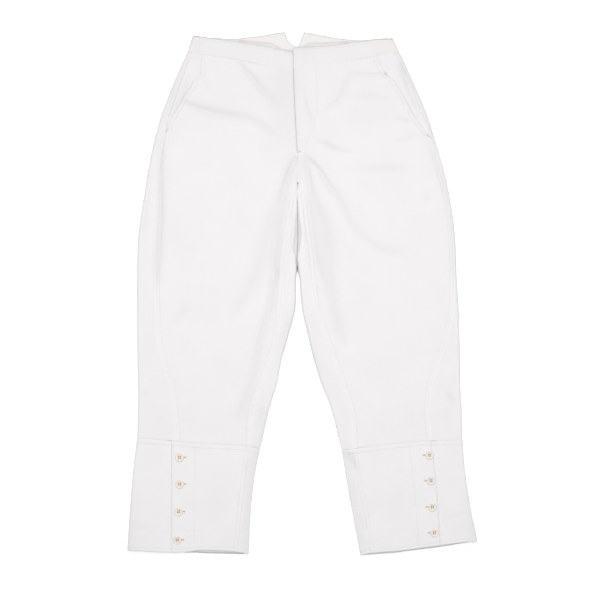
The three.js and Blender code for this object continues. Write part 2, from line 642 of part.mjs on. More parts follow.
function buttonGeometry() {
  const radius = BUTTON_DIAMETER / 2;
  const profile = [
    [0, 0], [radius - 1.6, 0], [radius, 1.1], [radius, 1.9], [radius - 0.9, BUTTON_HEIGHT],
    [radius - 2.1, BUTTON_HEIGHT - 0.2], [radius - 2.9, BUTTON_HEIGHT - 1], [0, BUTTON_HEIGHT - 1],
  ].map(([r, z]) => new THREE.Vector2(r, z));
  const body = new THREE.LatheGeometry(profile, 24);
  body.rotateX(Math.PI / 2);
  let solid = toManifold(body);
  const holeRadius = 0.85;
  const holeOffset = 1.45;
  for (let k = 0; k < 4; k += 1) {
    const angle = Math.PI / 2 * k;
    const drill = new THREE.CylinderGeometry(holeRadius, holeRadius, BUTTON_HEIGHT * 3, 8);
    drill.rotateX(Math.PI / 2);
    drill.translate(holeOffset * Math.SQRT2 * Math.cos(angle + Math.PI / 4),
      holeOffset * Math.SQRT2 * Math.sin(angle + Math.PI / 4), 0);
    solid = solid.subtract(toManifold(drill));
  }
  return fromManifold(solid);
}

function buttons(side, geometry) {
  return BUTTONS[side.name].map(([x, y], i) => {
    const mesh = named(`button_${side.name}_${i + 1}`, geometry.clone(), BUTTON_STUFF);
    mesh.position.set(x, y, FRONT_LEVEL + CLOTH / 2 + SEAM_GAP);
    return mesh;
  });
}

// ---------------------------------------------------------------- assembly
const garment = new THREE.Group();
const button = buttonGeometry();
for (const side of SIDES) {
  garment.add(...legPanels(side), ...bandPieces(side), ...cuffPieces(side), ...buttons(side, button));
}
garment.add(flyShield());

// The origin is under the middle of the garment's box.
const box = new THREE.Box3().setFromObject(garment);
const centre = box.getCenter(new THREE.Vector3());
garment.position.set(-centre.x, -centre.y, -box.min.z);

export default garment;
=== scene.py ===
import json
import math

import bmesh
import bpy
import numpy as np
from mathutils import Matrix, Vector
from mathutils.bvhtree import BVHTree

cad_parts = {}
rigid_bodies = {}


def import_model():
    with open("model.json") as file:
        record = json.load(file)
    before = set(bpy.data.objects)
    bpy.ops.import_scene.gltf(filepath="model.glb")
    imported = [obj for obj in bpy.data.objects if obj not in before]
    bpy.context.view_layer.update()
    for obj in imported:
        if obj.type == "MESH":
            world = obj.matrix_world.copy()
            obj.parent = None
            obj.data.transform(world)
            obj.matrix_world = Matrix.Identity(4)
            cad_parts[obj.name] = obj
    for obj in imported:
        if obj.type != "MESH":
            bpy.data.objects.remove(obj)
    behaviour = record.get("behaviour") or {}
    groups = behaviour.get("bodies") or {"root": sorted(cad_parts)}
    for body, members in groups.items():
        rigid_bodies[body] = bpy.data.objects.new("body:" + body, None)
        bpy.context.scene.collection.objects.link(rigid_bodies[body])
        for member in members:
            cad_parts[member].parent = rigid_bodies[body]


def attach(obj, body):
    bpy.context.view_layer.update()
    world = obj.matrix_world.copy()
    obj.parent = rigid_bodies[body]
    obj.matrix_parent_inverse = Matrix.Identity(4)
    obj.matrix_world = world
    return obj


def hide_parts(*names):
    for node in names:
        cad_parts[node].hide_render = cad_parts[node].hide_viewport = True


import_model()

for leftover in ("Cube", "Light", "Camera"):
    if leftover in bpy.data.objects:
        bpy.data.objects.remove(bpy.data.objects[leftover])
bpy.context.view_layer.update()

# ---------------------------------------------------------------- driving sizes
# Jodhpurs laid flat, front up: +X is the wearer's left, +Y the waist, +Z up.
# The tailor's tables are in millimetres; MM turns them into the frame's metres.
MM = 0.001
OFFSET = np.array([0.056, 0.034, 0.0])      # the tables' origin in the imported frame
CLOTH = 2.0
BAND_CLOTH = 2.6
SHIELD_CLOTH = 1.4
FACING_CLOTH = 0.6
SEAM_GAP = 0.03                             # seams are drawn almost shut here
LAYER_GAP = 0.4
BACK_LEVEL = CLOTH / 2
FRONT_LEVEL = 6.0
ROLL_WIDTH = 4.0
CROTCH_Y = 205.2
FLY_END_Y = 262.5
TAIL_LEAST = 12.0
TAIL_MOST = 60.0
CROTCH_CLEAR = 0.05
THIGH_GAP_Y = 38.0                          # the lower layers of the thighs meet above this
CUFF_HEIGHT = 208.0
TOP_Y = 445.7
FOOT_Y = -266.6
WAIST_BLEND = 100.0
CUFF_BLEND = 90.0
BAND_NOMINAL = 30.0
POCKET_SPREAD = 45.0
OVERLAP_NEEDS = 2.7
FLY_LIFT = 1.2
FLY_SPREAD = 14.0
SHIELD_BEHIND = 8.0
SHIELD_UNDER = 36.0
UNDERLAP = 42.0
UNDERLAP_DROP = CLOTH + LAYER_GAP
UNDERLAP_RISE = 16.0
LOFT = 2.4
LEG_SAG = 2.0
CUFF_SAG = 2.2
CREASE_GAIN = 1.5
DEEPEST = 2.6                               # a trough may sink this far into the hollow
STITCH_IN = 7.0                             # topstitching runs this far from its seam

# The columns of the tables for legs, cuffs and waistbands, whose rows run down the garment. y is the
# height of a row. outer, side, inseam and inner are the x of the outer fold, the side seam, the inseam
# and the inner fold. edge and thigh are how high the front layer lies along the two folds.
COLUMN = {"y": 0, "outer": 1, "side": 2, "inseam": 3, "inner": 4, "edge": 5, "thigh": 6}
LEG = {
    "right": [
        (445.7, -212.9, -205.0, -16.4, -9.4, 6.2, 6.0),
        (395.7, -235.5, -223.1, -15.4, -9.2, 6.8, 6.0),
        (340.2, -257.7, -242.4, -13.6, -9.0, 7.0, 6.0),
        (314.0, -266.1, -250.4, -12.3, -8.8, 7.0, 6.0),
        (288.4, -273.2, -253.4, -10.8, -8.6, 7.2, 6.0),
        (238.5, -283.6, -262.5, -8.2, -8.2, 7.6, 6.2),
        (205.2, -289.2, -264.0, -8.2, -8.2, 7.8, 6.5),
        (192.2, -291.0, -264.2, -11.7, -8.6, 7.8, 7.0),
        (146.0, -298.4, -265.1, -20.9, -10.2, 8.0, 9.0),
        (99.7, -304.0, -267.0, -30.2, -11.5, 8.0, 10.5),
        (35.0, -305.8, -270.7, -36.6, -12.0, 8.0, 10.5),
        (-26.1, -305.8, -269.7, -40.3, -13.0, 7.8, 9.5),
        (-76.0, -305.4, -267.0, -46.8, -25.5, 7.5, 8.5),
        (-122.3, -305.2, -257.7, -59.8, -38.5, 7.2, 8.0),
        (-168.5, -304.0, -242.9, -76.4, -47.7, 7.0, 7.5),
        (-214.8, -304.0, -235.5, -93.1, -63.5, 6.8, 7.0),
        (-266.6, -305.8, -231.8, -98.0, -78.3, 6.4, 6.4),
    ],
    "left": [
        (445.7, 180.2, 170.7, -16.4, -9.4, 6.2, 6.0),
        (395.7, 203.3, 196.1, -15.4, -9.2, 6.8, 6.0),
        (340.2, 227.7, 218.7, -13.6, -9.0, 7.0, 6.0),
        (288.4, 244.6, 238.4, -10.8, -8.6, 7.2, 6.0),
        (238.5, 259.4, 250.7, -8.2, -8.2, 7.6, 6.2),
        (205.2, 267.3, 260.7, -8.2, -8.2, 7.8, 6.5),
        (192.2, 270.1, 264.9, -4.4, -7.6, 7.8, 7.0),
        (146.0, 278.2, 273.2, 2.2, -5.7, 8.0, 9.0),
        (99.7, 283.1, 276.9, 8.7, -5.0, 8.0, 10.5),
        (35.0, 285.5, 279.5, 16.1, -5.0, 8.0, 10.5),
        (-26.1, 289.2, 277.6, 25.3, -0.6, 7.8, 9.5),
        (-76.0, 290.8, 267.4, 42.9, 10.5, 7.5, 8.5),
        (-122.3, 291.8, 252.4, 58.6, 21.6, 7.2, 8.0),
        (-168.5, 292.2, 238.1, 75.3, 36.4, 7.0, 7.5),
        (-214.8, 295.2, 232.5, 91.9, 56.8, 6.8, 7.0),
        (-266.6, 296.4, 238.1, 95.0, 73.4, 6.4, 6.4),
    ],
}
CUFF = {
    "right": [
        (0, -305.8, -241.8, -98.6, -78.3, 6.4, 6.4),
        (-60, -313.2, -242.2, -105.0, -88.8, 6.6, 6.6),
        (-130, -318.8, -242.6, -113.0, -95.8, 6.6, 6.6),
        (-CUFF_HEIGHT, -323.9, -242.9, -119.9, -99.5, 6.4, 6.4),
    ],
    "left": [
        (0, 296.4, 237.2, 93.8, 73.4, 6.4, 6.4),
        (-60, 301.0, 245.4, 102.0, 81.8, 6.6, 6.6),
        (-130, 310.2, 251.4, 115.0, 93.8, 6.6, 6.6),
        (-CUFF_HEIGHT, 323.8, 255.7, 127.1, 107.7, 6.4, 6.4),
    ],
}
BAND = {
    "right": [
        (BAND_NOMINAL, -202.2, -189.8, -17.4, -9.4, 6.0, 6.0),
        (0, -212.9, -189.8, -16.4, -9.4, 6.2, 6.0),
    ],
    "left": [
        (BAND_NOMINAL, 167.4, 129.9, -17.4, -9.4, 6.0, 6.0),
        (0, 180.2, 138.0, -16.4, -9.4, 6.2, 6.0),
    ],
}
# Seams and edges that run across, as y over x.
WAIST_SEAM = {
    "right": [(-212.9, 447.3), (-158.4, 439.2), (-117.7, 432.7), (-85.7, 425.3), (-32.0, 417.0),
              (-9.0, 416.1)],
    "left": [(-16, 418.6), (47.5, 425.3), (71.6, 428.3), (99.3, 433.6), (134.5, 439.2), (180.2, 447.5)],
}
BACK_WAIST_SEAM = {
    "right": [(-212.9, 447.3), (-9.4, 436.0)],
    "left": [(-9.4, 436.0), (180.2, 447.5)],
}
FRONT_WAIST_TOP = {
    "right": [(-189.8, 475.2), (-172.6, 472.6), (-117.1, 465.0), (-96, 461.6), (-72.7, 458.6), (-46.8, 452.4),
              (-33, 450.0), (-15.4, 448.4)],
    "left": [(-16, 455.8), (23.5, 456.8), (62.3, 459.4), (95.6, 465.1), (138.0, 470.2)],
}
BACK_WAIST_TOP = {
    "right": [(-204, 479.6), (-172.6, 475.0), (-126.4, 472.4), (-74.6, 478.2), (-48, 483.2), (-32.4, 485.5),
              (-26.6, 470.1), (-20.5, 462.3), (-9.4, 457.0)],
    "left": [(-9.4, 457.5), (-5.4, 464.4), (-2.0, 472.0), (3.0, 485.3), (34.6, 479.2), (71.6, 472.8),
             (106.7, 469.8), (151.1, 473.8), (169, 474.0)],
}
NOTCH_X = -9.4
NOTCH_REACH = 25.0
CUFF_SEAM = {
    "right": [(-305.8, -266.6), (-241.8, -271.6), (-185.6, -277.1), (-115.3, -280.3), (-78.3, -285.8)],
    "left": [(73.4, -289.2), (151.1, -279.5), (227.0, -271.6), (296.4, -270.3)],
}
HEM = {
    "right": [(-323.9, -474.5), (-241.8, -479.0), (-193.7, -477.1), (-99.5, -481.2)],
    "left": [(107.7, -484.0), (180.7, -478.4), (254.7, -469.2), (323.8, -457.9)],
}
# How much wider than its table each side of the gap between the thighs lies, over y.
OPENING = {
    "right": [(24, 0), (34, -0.7), (43, -1.6), (54, -1.0), (58, -0.7), (66, -0.1), (70, 0.3), (78, 2.6),
              (84, 3.3), (92, 2.8), (109, 1.5), (121, 1.2), (136, 0.9), (146, 0.2), (154, -0.2),
              (164, -0.3), (180, 0.7), (192, 0.8), (204, 0)],
    "left": [(24, 0), (34, -1.1), (43, -2.3), (54, -2.9), (58, -3.6), (66, -4.6), (70, -4.4), (76, -3.0),
             (84, -1.6), (92, -0.6), (109, 1.5), (121, 0.9), (136, -1.2), (146, -1.9), (154, -2.0),
             (164, -2.2), (180, -2.3), (192, -1.5), (204, 0)],
}
# Where the two thighs meet, as x over y.
MEETING = [(34, -8.3), (43, -8.9), (54, -9.4), (66, -10.5), (70, -10.4), (78, -9.4), (92, -8.3),
           (121, -8.3), (136, -8.8), (154, -8.9), (164, -9.0), (180, -9.6), (192, -9.3), (204, -8.3)]
# How much painted shade the cloth takes deep in that gap, over y.
GAP_SHADE_ALONG_Y = [(34, 0), (38, 10), (50, 10), (56, 3), (66, 1), (76, 1.6), (84, 2.2), (124, 2.2), (134, 2.4),
            (146, 2.4), (158, 1.4), (174, 0.5), (204, 0)]
# How much lower the back of a cuff hangs than its table, over x.
HEM_LOW = {
    "right": [(-228, 0), (-215, 1.6), (-180, 3.2), (-150, 2.4), (-112, 1.6), (-101, 0)],
    "left": [(150, 0.6), (176, 0.9), (186, 0)],
}
# How much shorter the front of each cuff hangs than its back, over x: the leg's opening shows there.
HEM_SHORT = {
    "right": [(-236, 0), (-206, 0.6), (-193, 3.2), (-160, 4.0), (-128, 3.6), (-112, 1.4), (-104, 0)],
    "left": [(112, 0), (122, 2.6), (150, 3.2), (190, 2.7), (225, 3.4), (270, 3.2), (304, 2.2), (318, 0)],
}
# The slanted pocket edge, as x over y.
POCKET_EDGE = {
    "right": [(288.4, -253.4), (300, -251.6), (313.9, -247.9), (331.3, -239.2), (348.5, -227.2),
              (367.6, -216.8), (381.3, -206.3), (396.8, -199.4), (407.2, -188.3), (445.7, -189.8)],
    "left": [(286.0, 239.0), (289.5, 237.4), (293.0, 234.0), (297.5, 229.8), (313.9, 217.4),
             (334.7, 203.5), (360.6, 189.6), (379.6, 179.3), (396.8, 167.2), (407.2, 156.7),
             (445.7, 137.6)],
}
POCKET = {
    "right": {"top": 407.2, "foot": 299.0, "facing_foot": 299.0, "lift": 3.4, "overlap": 8.0},
    "left": {"top": 407.2, "foot": 289.0, "facing_foot": 289.0, "lift": 3.0, "overlap": 5.0},
}
OUT = {"right": -1, "left": 1}
# Where the buttons sit, from the top of each cuff down.
BUTTONS = {
    "right": [(-227.2, -302.1), (-226.8, -351.7), (-228.7, -402.6), (-231.2, -454.9)],
    "left": [(235.1, -298.2), (237.9, -345.4), (240.5, -394.1), (244.2, -441.8)],
}

# Creases, each a line of (x, y, height, half width): troughs below zero, ridges above.
CREASES = [
    # right leg: from the waist, from the pocket, and down from the crotch
    [(-132, 444, 0, 4), (-118, 430, -1.7, 5), (-107, 414, -2.5, 5), (-88, 395, -2.4, 6),
     (-74, 376, -1.9, 7), (-55, 357, -1.4, 9), (-38, 340, 0, 10)],
    [(-36, 440, 0, 20), (-32, 400, -0.8, 26), (-30, 350, -1.1, 28), (-36, 300, -0.9, 26), (-40, 262, 0, 24)],
    [(-223, 356, -0.5, 5), (-214, 351, -1.5, 5), (-197, 345, -2.1, 6), (-178, 339, -2.4, 7),
     (-152, 333, -2.1, 7), (-125, 328, -1.9, 8), (-97, 323, -1.7, 8), (-68, 304, -1.3, 10),
     (-43, 280, 0, 12)],
    [(-200, 340, 0, 10), (-170, 328, -0.8, 13), (-120, 318, -0.7, 14), (-80, 300, 0, 14)],
    [(-200, 330, 0, 16), (-160, 318, 0.8, 15), (-115, 312, 0.7, 15), (-80, 290, 0, 14)],
    [(-11, 257, 0, 4), (-15, 246, -2.2, 5), (-22, 229, -3.2, 5), (-31, 201, -3.1, 7), (-36, 174, -3.1, 8),
     (-41, 146, -2.8, 8), (-48, 118, -2.7, 9), (-49, 90, -2.7, 9), (-53, 62, -2.7, 8), (-53, 35, -2.7, 8),
     (-58, 7, -2.7, 7), (-62, -30, -2.4, 7), (-73, -67, -2.1, 7), (-80, -98, -1.7, 8), (-91, -150, -1.7, 8),
     (-100, -185, -1.6, 8), (-111, -217, -1.5, 9), (-122, -250, 0, 10)],
    [(-15, 205, 0, 6), (-20, 160, 1.3, 7), (-23, 118, 1.8, 7), (-27, 90, 1.9, 7), (-32, 62, 1.7, 7),
     (-37, 35, 1.6, 7), (-42, 7, 1.5, 7), (-46, -30, 1.0, 8), (-56, -66, 0, 8)],
    [(-38, 204, 0, 10), (-58, 140, -1.0, 12), (-84, 41, -1.2, 12), (-98, 10, -1.1, 11), (-116, -26, -0.8, 12),
     (-142, -62, 0, 12)],
    [(-58, 60, 0, 8), (-66, 0, 0.9, 9), (-88, -60, 1.0, 11), (-112, -120, 0.8, 12), (-128, -170, 0, 12)],
    [(-243, -60, 0, 7), (-224, -41, -0.9, 7), (-204, -18, 0, 7)],
    [(-303, -199, 0, 4), (-293, -189, -0.8, 5), (-283, -179, 0, 5)],
    [(-74, -204, 0, 4), (-75, -222, -1.5, 5), (-80, -244, -1.5, 5), (-84, -262, 0, 5)],
    [(-256, 288, 0, 5), (-261, 262, -1.6, 5), (-263, 220, -2.3, 6), (-262, 150, -2.6, 6),
     (-266, 80, -2.4, 7), (-271, 20, -1.6, 7), (-275, -10, 0, 7)],
    [(-266, 240, 0, 6), (-276, 200, 0.9, 7), (-282, 150, 1.1, 8), (-285, 100, 0.7, 8), (-288, 60, 0, 8)],
    [(-190, 405, 0, 4), (-178, 391, -0.8, 5), (-170, 372, 0, 5)],
    [(-92, 262, 0, 8), (-62, 268, -0.5, 8), (-35, 272, 0, 8)],
    # left leg
    [(2, 254, 0, 4), (8, 236, -2.2, 5), (12, 214, -2.4, 6), (17, 180, -2.3, 7), (21, 146, -1.6, 7),
     (24, 118, -1.7, 6), (29, 90, -2.0, 6), (33, 62, -1.9, 7), (40, 35, -1.2, 7), (48, 0, 0, 7)],
    [(20, 190, 0, 9), (32, 150, -2.2, 11), (42, 118, -2.4, 13), (46, 90, -2.3, 14), (48, 50, -2.2, 12),
     (52, 20, -2.2, 10), (58, -15, -1.8, 10), (70, -75, -1.4, 9), (86, -110, 0, 9)],
    [(1, 200, 0, 5), (4, 165, 1.2, 6), (8, 120, 1.7, 6), (12, 90, 1.8, 6), (17, 60, 1.5, 7), (21, 25, 1.2, 8),
     (28, -10, 0.8, 8), (44, -50, 0, 8)],
    [(0, 259, 0, 4), (14, 246, -2.3, 5), (31, 229, -2.6, 5), (48, 201, -2.4, 6), (68, 174, -1.6, 7),
     (93, 125, -1.2, 8), (127, 92, -1.2, 9), (161, 76, -1.0, 10), (198, 71, 0, 10)],
    [(20, 215, 0, 8), (50, 165, 1.1, 10), (80, 110, 1.6, 12), (108, 64, 1.2, 14), (120, 30, 0, 15)],
    [(70, 222, 0, 8), (98, 178, 0.9, 9), (118, 140, 0, 9)],
    [(22, 284, 0, 5), (42, 276, -1.8, 6), (62, 266, -1.8, 6), (102, 258, 0, 6)],
    [(93, 418, 0, 5), (81, 388, -1.2, 6), (68, 362, -1.1, 7), (50, 345, -0.9, 7), (28, 326, 0, 7)],
    [(-4, 388, 0, 3), (7, 346, -1.0, 5), (13, 324, -1.2, 5), (15, 304, 0, 5)],
    [(82, 404, 0, 4), (110, 405, -1.0, 5), (140, 405, -1.5, 5), (158, 404, -1.3, 5), (166, 402, 0, 5)],
    [(82, 366, 0, 6), (125, 364, -0.7, 7), (170, 358, 0, 7)],
    [(166, 324, 0, 4), (188, 320, -1.2, 5), (209, 314, 0, 5)],
    [(158, 278, 0, 5), (192, 285, -0.8, 6), (223, 293, 0, 6)],
    [(70, 226, 0, 8), (110, 228, -0.7, 9), (170, 229, -0.8, 9), (202, 225, 0, 9)],
    [(231, 192, 0, 7), (232, 174, -1.0, 8), (233, 156, 0, 8)],
    [(226, 300, 0, 4), (242, 256, -1.2, 5), (258, 208, -2.2, 5), (275, 140, -2.2, 5), (278, 85, -1.8, 5),
     (276, 0, 0, 5)],
    [(265, -176, 0, 5), (277, -196, -1.3, 6), (287, -214, 0, 6)],
    [(277, -140, 0, 6), (286, -170, -0.8, 7), (291, -190, 0, 7)],
]
CUFF_CREASES = [
    [(80, -292, -0.8, 5), (88, -300, -2.5, 5), (94, -312, -2.2, 6), (100, -326, -1.2, 7), (108, -340, 0, 8)],
    [(254, -419, 0, 5), (272, -415, -0.5, 6), (294, -411, -0.7, 6), (322, -406, 0, 6)],
    [(104, -405, 0, 8), (112, -428, -0.8, 8), (122, -452, 0, 8)],
    [(-92, -300, 0, 5), (-100, -318, -0.9, 7), (-108, -344, 0, 8)],
    [(-318, -440, 0, 6), (-296, -434, -0.7, 7), (-268, -436, 0, 7)],
    [(-150, -352, 0, 12), (-160, -392, -0.5, 13), (-150, -430, 0, 12)],
    [(170, -350, 0, 12), (178, -390, -0.5, 13), (170, -426, 0, 12)],
]
# Lines of painted shade, in the same terms: x, y, how much, how wide.
SHADE_LINES = [
    [(174, 436, 0, 5), (184, 413, 1.2, 5.5), (196, 376, 1.2, 3.6), (213, 339, 0.6, 3.6), (222, 310, 0, 4)],
    [(-206, 412, 0, 5), (-214, 392, 0.5, 6), (-222, 368, 0.8, 8), (-238, 340, 0.4, 6), (-250, 318, 0, 5)],
    [(-229, 392, 0, 2), (-239, 368, 0.5, 2.2), (-246, 345, 0.3, 2.2), (-252, 325, 0, 2)],
    [(-10.3, 218, 0, 1.2), (-10.0, 212, 1.4, 1.3), (-9.2, 204, 1.2, 1.3), (-9.2, 196, 0, 1.3)],
]
# Lines of painted shade on the cuffs, in the same terms.
CUFF_SHADE_LINES = [
    [(74, -290, 0.4, 4), (84, -302, 0.8, 4), (94, -314, 0.5, 4), (104, -330, 0, 4)],
]
# How much painted shade the inner and outer edges of each leg take, over y.
INNER_EDGE_SHADE = {
    "right": [(-268, 0.9), (-225, 0.7), (-195, 0), (-140, 0), (-100, 0.7), (-68, 1.0), (-30, 0.4), (0, 0)],
    "left": [(-160, 0), (-140, 0.6), (-115, 0.8), (-80, 0.4), (-50, 0)],
}
OUTER_EDGE_SHADE = {
    "right": [(80, 0), (200, 0.3), (440, 0.4)],
    "left": [(-60, 0), (0, 0.5), (100, 0.7), (440, 0.8)],
}
# The underside lies on its own creases, lifted a little off the surface.
UNDER_CREASES = [
    [(-30, 200, 0, 10), (-60, 120, 1.0, 11), (-96, 30, 0.9, 12), (-130, -40, 0, 12)],
    [(-24, 225, 0, 9), (-70, 215, 0.9, 10), (-130, 190, 0.8, 10), (-190, 180, 0, 10)],
    [(12, 205, 0, 10), (40, 120, 1.0, 11), (74, 40, 0.9, 12), (108, -30, 0, 12)],
    [(10, 228, 0, 9), (60, 214, 0.9, 10), (120, 196, 0.8, 10), (176, 176, 0, 10)],
    [(-230, 60, 0, 9), (-190, 20, 0.8, 10), (-150, 0, 0, 10)],
    [(210, 50, 0, 9), (170, 10, 0.8, 10), (130, -8, 0, 10)],
    [(-250, -70, 0, 8), (-200, -90, 0.9, 9), (-150, -84, 0, 9)],
    [(240, -80, 0, 8), (196, -100, 0.9, 9), (150, -96, 0, 9)],
    [(-230, -180, 0, 9), (-180, -196, 0.7, 9), (-130, -190, 0, 9)],
    [(236, -190, 0, 9), (190, -204, 0.7, 9), (146, -196, 0, 9)],
    [(-180, 330, 0, 10), (-140, 290, 0.8, 11), (-80, 270, 0, 11)],
    [(170, 320, 0, 10), (130, 284, 0.8, 11), (80, 266, 0, 11)],
]


# ---------------------------------------------------------------- small maths
def clamp(value, low, high):
    return np.minimum(high, np.maximum(low, value))


def ease(t):
    """A soft step from 0 to 1."""
    u = clamp(t, 0.0, 1.0)
    return u * u * (3 - 2 * u)


def away(distance, margin, width):
    """A soft step that starts a margin from an edge and is whole a width further on."""
    return ease((distance - margin) / width)


def dome(distance, reach):
    """A soft bump, 1 at no distance, falling away over reach."""
    return np.exp(-(distance / reach) ** 2)


def value_at(rows, name, y):
    """A smooth value of one column of a tailor's table at height y, its rows running down."""
    i = 0
    while i < len(rows) - 2 and y < rows[i + 1][0]:
        i += 1
    k = COLUMN[name]
    a, b = rows[i], rows[i + 1]
    before, after = rows[max(i - 1, 0)], rows[min(i + 2, len(rows) - 1)]
    span = b[0] - a[0]
    t = float(clamp((y - a[0]) / span, 0.0, 1.0))
    slope_a = (b[k] - before[k]) / (b[0] - before[0]) * span
    slope_b = (after[k] - a[k]) / (after[0] - a[0]) * span
    t2, t3 = t * t, t * t * t
    return ((2 * t3 - 3 * t2 + 1) * a[k] + (t3 - 2 * t2 + t) * slope_a
            + (3 * t2 - 2 * t3) * b[k] + (t3 - t2) * slope_b)


def along(pairs, key):
    """Straight interpolation in a list of (key, value)."""
    keys = [pair[0] for pair in pairs]
    values = [pair[1] for pair in pairs]
    return np.interp(key, keys, values)


def rounded(points, steps=6):
    """A line through the points without corners, every column of them."""
    points = np.asarray(points, dtype=float)
    padded = np.vstack([2 * points[0] - points[1], points, 2 * points[-1] - points[-2]])
    found = []
    for i in range(1, len(padded) - 2):
        a, b, c, d = padded[i - 1], padded[i], padded[i + 1], padded[i + 2]
        for k in range(steps):
            t = k / steps
            found.append(0.5 * (2 * b + (c - a) * t + (2 * a - 5 * b + 4 * c - d) * t * t
                                + (3 * b - a - 3 * c + d) * t ** 3))
    found.append(points[-1])
    return np.array(found)


CREASE_REACH = 3.2                          # in half widths, past which a crease is nothing
CREASE_POWER = 1.7
FAR = 1e9


def crease_height(creases, x, y):
    """How far the creases lift or sink the cloth at each place."""
    height = np.zeros(x.shape)
    for crease in creases:
        line = rounded(crease)
        reach = CREASE_REACH * line[:, 3].max()
        near = ((x > line[:, 0].min() - reach) & (x < line[:, 0].max() + reach)
                & (y > line[:, 1].min() - reach) & (y < line[:, 1].max() + reach))
        if not near.any():
            continue
        px, py = x[near], y[near]
        best = np.full(px.shape, FAR)
        tall = np.zeros(px.shape)
        wide = np.ones(px.shape)
        for a, b in zip(line[:-1], line[1:]):
            dx, dy = b[0] - a[0], b[1] - a[1]
            t = clamp(((px - a[0]) * dx + (py - a[1]) * dy) / (dx * dx + dy * dy), 0.0, 1.0)
            distance = np.hypot(px - a[0] - t * dx, py - a[1] - t * dy)
            closer = distance < best
            best = np.where(closer, distance, best)
            tall = np.where(closer, a[2] + (b[2] - a[2]) * t, tall)
            wide = np.where(closer, a[3] + (b[3] - a[3]) * t, wide)
        height[near] += tall * np.exp(-(best / wide) ** CREASE_POWER)
    return height


def ripple(place, seed):
    """An uneven small wave along a seam, about -1 to 1."""
    return (0.5 * np.sin(place / 1.45 + seed) + 0.3 * np.sin(place / 2.2 + 1.7 * seed)
            + 0.2 * np.sin(place / 1.0 + 2.9 * seed))


def settle_of(x, y):
    """The slow unevenness of cloth that has been handled and laid down."""
    return (0.16 * np.sin(x / 23 + y / 61 + 0.4) + 0.14 * np.sin(x / 41 - y / 27 + 1.9)
            + 0.12 * np.sin(y / 19 - x / 55 + 2.6) + 0.07 * np.sin(x / 11 + y / 16 + 0.9))


FLOOR_SLACK = 0.5
STEEPEST = 30.0                             # beyond it the soft floor is straight


def soft_floor(height, lowest):
    """Keeps a height above lowest, gently."""
    over = clamp((height - lowest) / FLOOR_SLACK, -STEEPEST, STEEPEST)
    return lowest + FLOOR_SLACK * np.log1p(np.exp(over))


# ---------------------------------------------------------------- the flattened tube
TOE_SHORT = 0.1                             # each lower layer stops this short of the other's
TOE_STARTS = 6.0
TOE_ENDS = 14.0
ANKLE_SAG_Y = -225.0
KNEE_SAG_Y = -68.0
SAG_LENGTH = 34.0
SAG_WIDTH = 9.0
SWELL_WIDTH = 30.0
THIGH_WIDTH = 32.0
INSEAM_CLEAR = 0.5
TOP_PLACES = 150                            # places on a section's top, its turns and its inner strip
TURN_PLACES = 37
STRIP_PLACES = 41
TOE_TRIES = 5
TOE_TURN = {"widest": 2.0, "less": 0.8, "from_y": 140.0, "over": 20.0, "power": 0.7}


class Form:
    """One flattened tube of cloth. q runs outward from the centre: q = out * x."""

    def __init__(self, side, rows, closed, inner_roll, place):
        self.side = side
        self.out = OUT[side]
        self.rows = rows
        self.closed = closed
        self.inner_roll = inner_roll
        self.place = place

    def value(self, name, y):
        return value_at(self.rows, name, y)

    def q_of(self, name, y):
        return self.value(name, y) * self.out

    def opening(self, y):
        """How much wider than its table this side of the gap between the thighs lies."""
        if self.rows is not LEG[self.side]:
            return 0.0
        return float(along(OPENING[self.side], y))

    def toe(self, y):
        """How much further in the lower layer lies between the thighs, where it meets the other leg's."""
        if self.rows is not LEG[self.side]:
            return 0.0
        gap = abs(self.value("inner", y) - float(along(MEETING, y))) - TOE_SHORT + self.opening(y)
        return max(gap, 0.0) * away(y, THIGH_GAP_Y, TOE_STARTS) * away(CROTCH_Y - y, 0, TOE_ENDS)

    def sag(self, q, y):
        """A pressed edge comes down to meet the layer below before it turns."""
        if self.rows is LEG[self.side]:
            knee = (self.side == "right") * dome(y - KNEE_SAG_Y, SAG_LENGTH)
            low = LEG_SAG * (ease((ANKLE_SAG_Y - y) / SAG_LENGTH) + knee)
        else:
            low = CUFF_SAG
        return low * dome(clamp(q - self.q_of("inner", y) - ROLL_WIDTH, 0.0, FAR), SAG_WIDTH)

    def level(self, q, y):
        """How high the front layer lies: swollen along both edges, and pressed down at the inner one."""
        from_outer = clamp(self.q_of("outer", y) - ROLL_WIDTH - q, 0.0, FAR)
        from_inner = clamp(q - self.q_of("inner", y) - ROLL_WIDTH, 0.0, FAR)
        swell = (self.value("edge", y) - FRONT_LEVEL) * dome(from_outer, SWELL_WIDTH)
        thigh = (self.value("thigh", y) - FRONT_LEVEL) * dome(from_inner, THIGH_WIDTH)
        return FRONT_LEVEL + swell + thigh - self.sag(q, y)

    def inseam(self, y):
        """The inseam, kept clear of the folded inner edge just below the crotch."""
        seam = self.q_of("inseam", y)
        if not self.closed(y):
            return seam
        folded = self.q_of("inner", y) + CLOTH / 2 + self.inner_roll(y) + self.opening(y)
        return max(seam, folded + INSEAM_CLEAR)


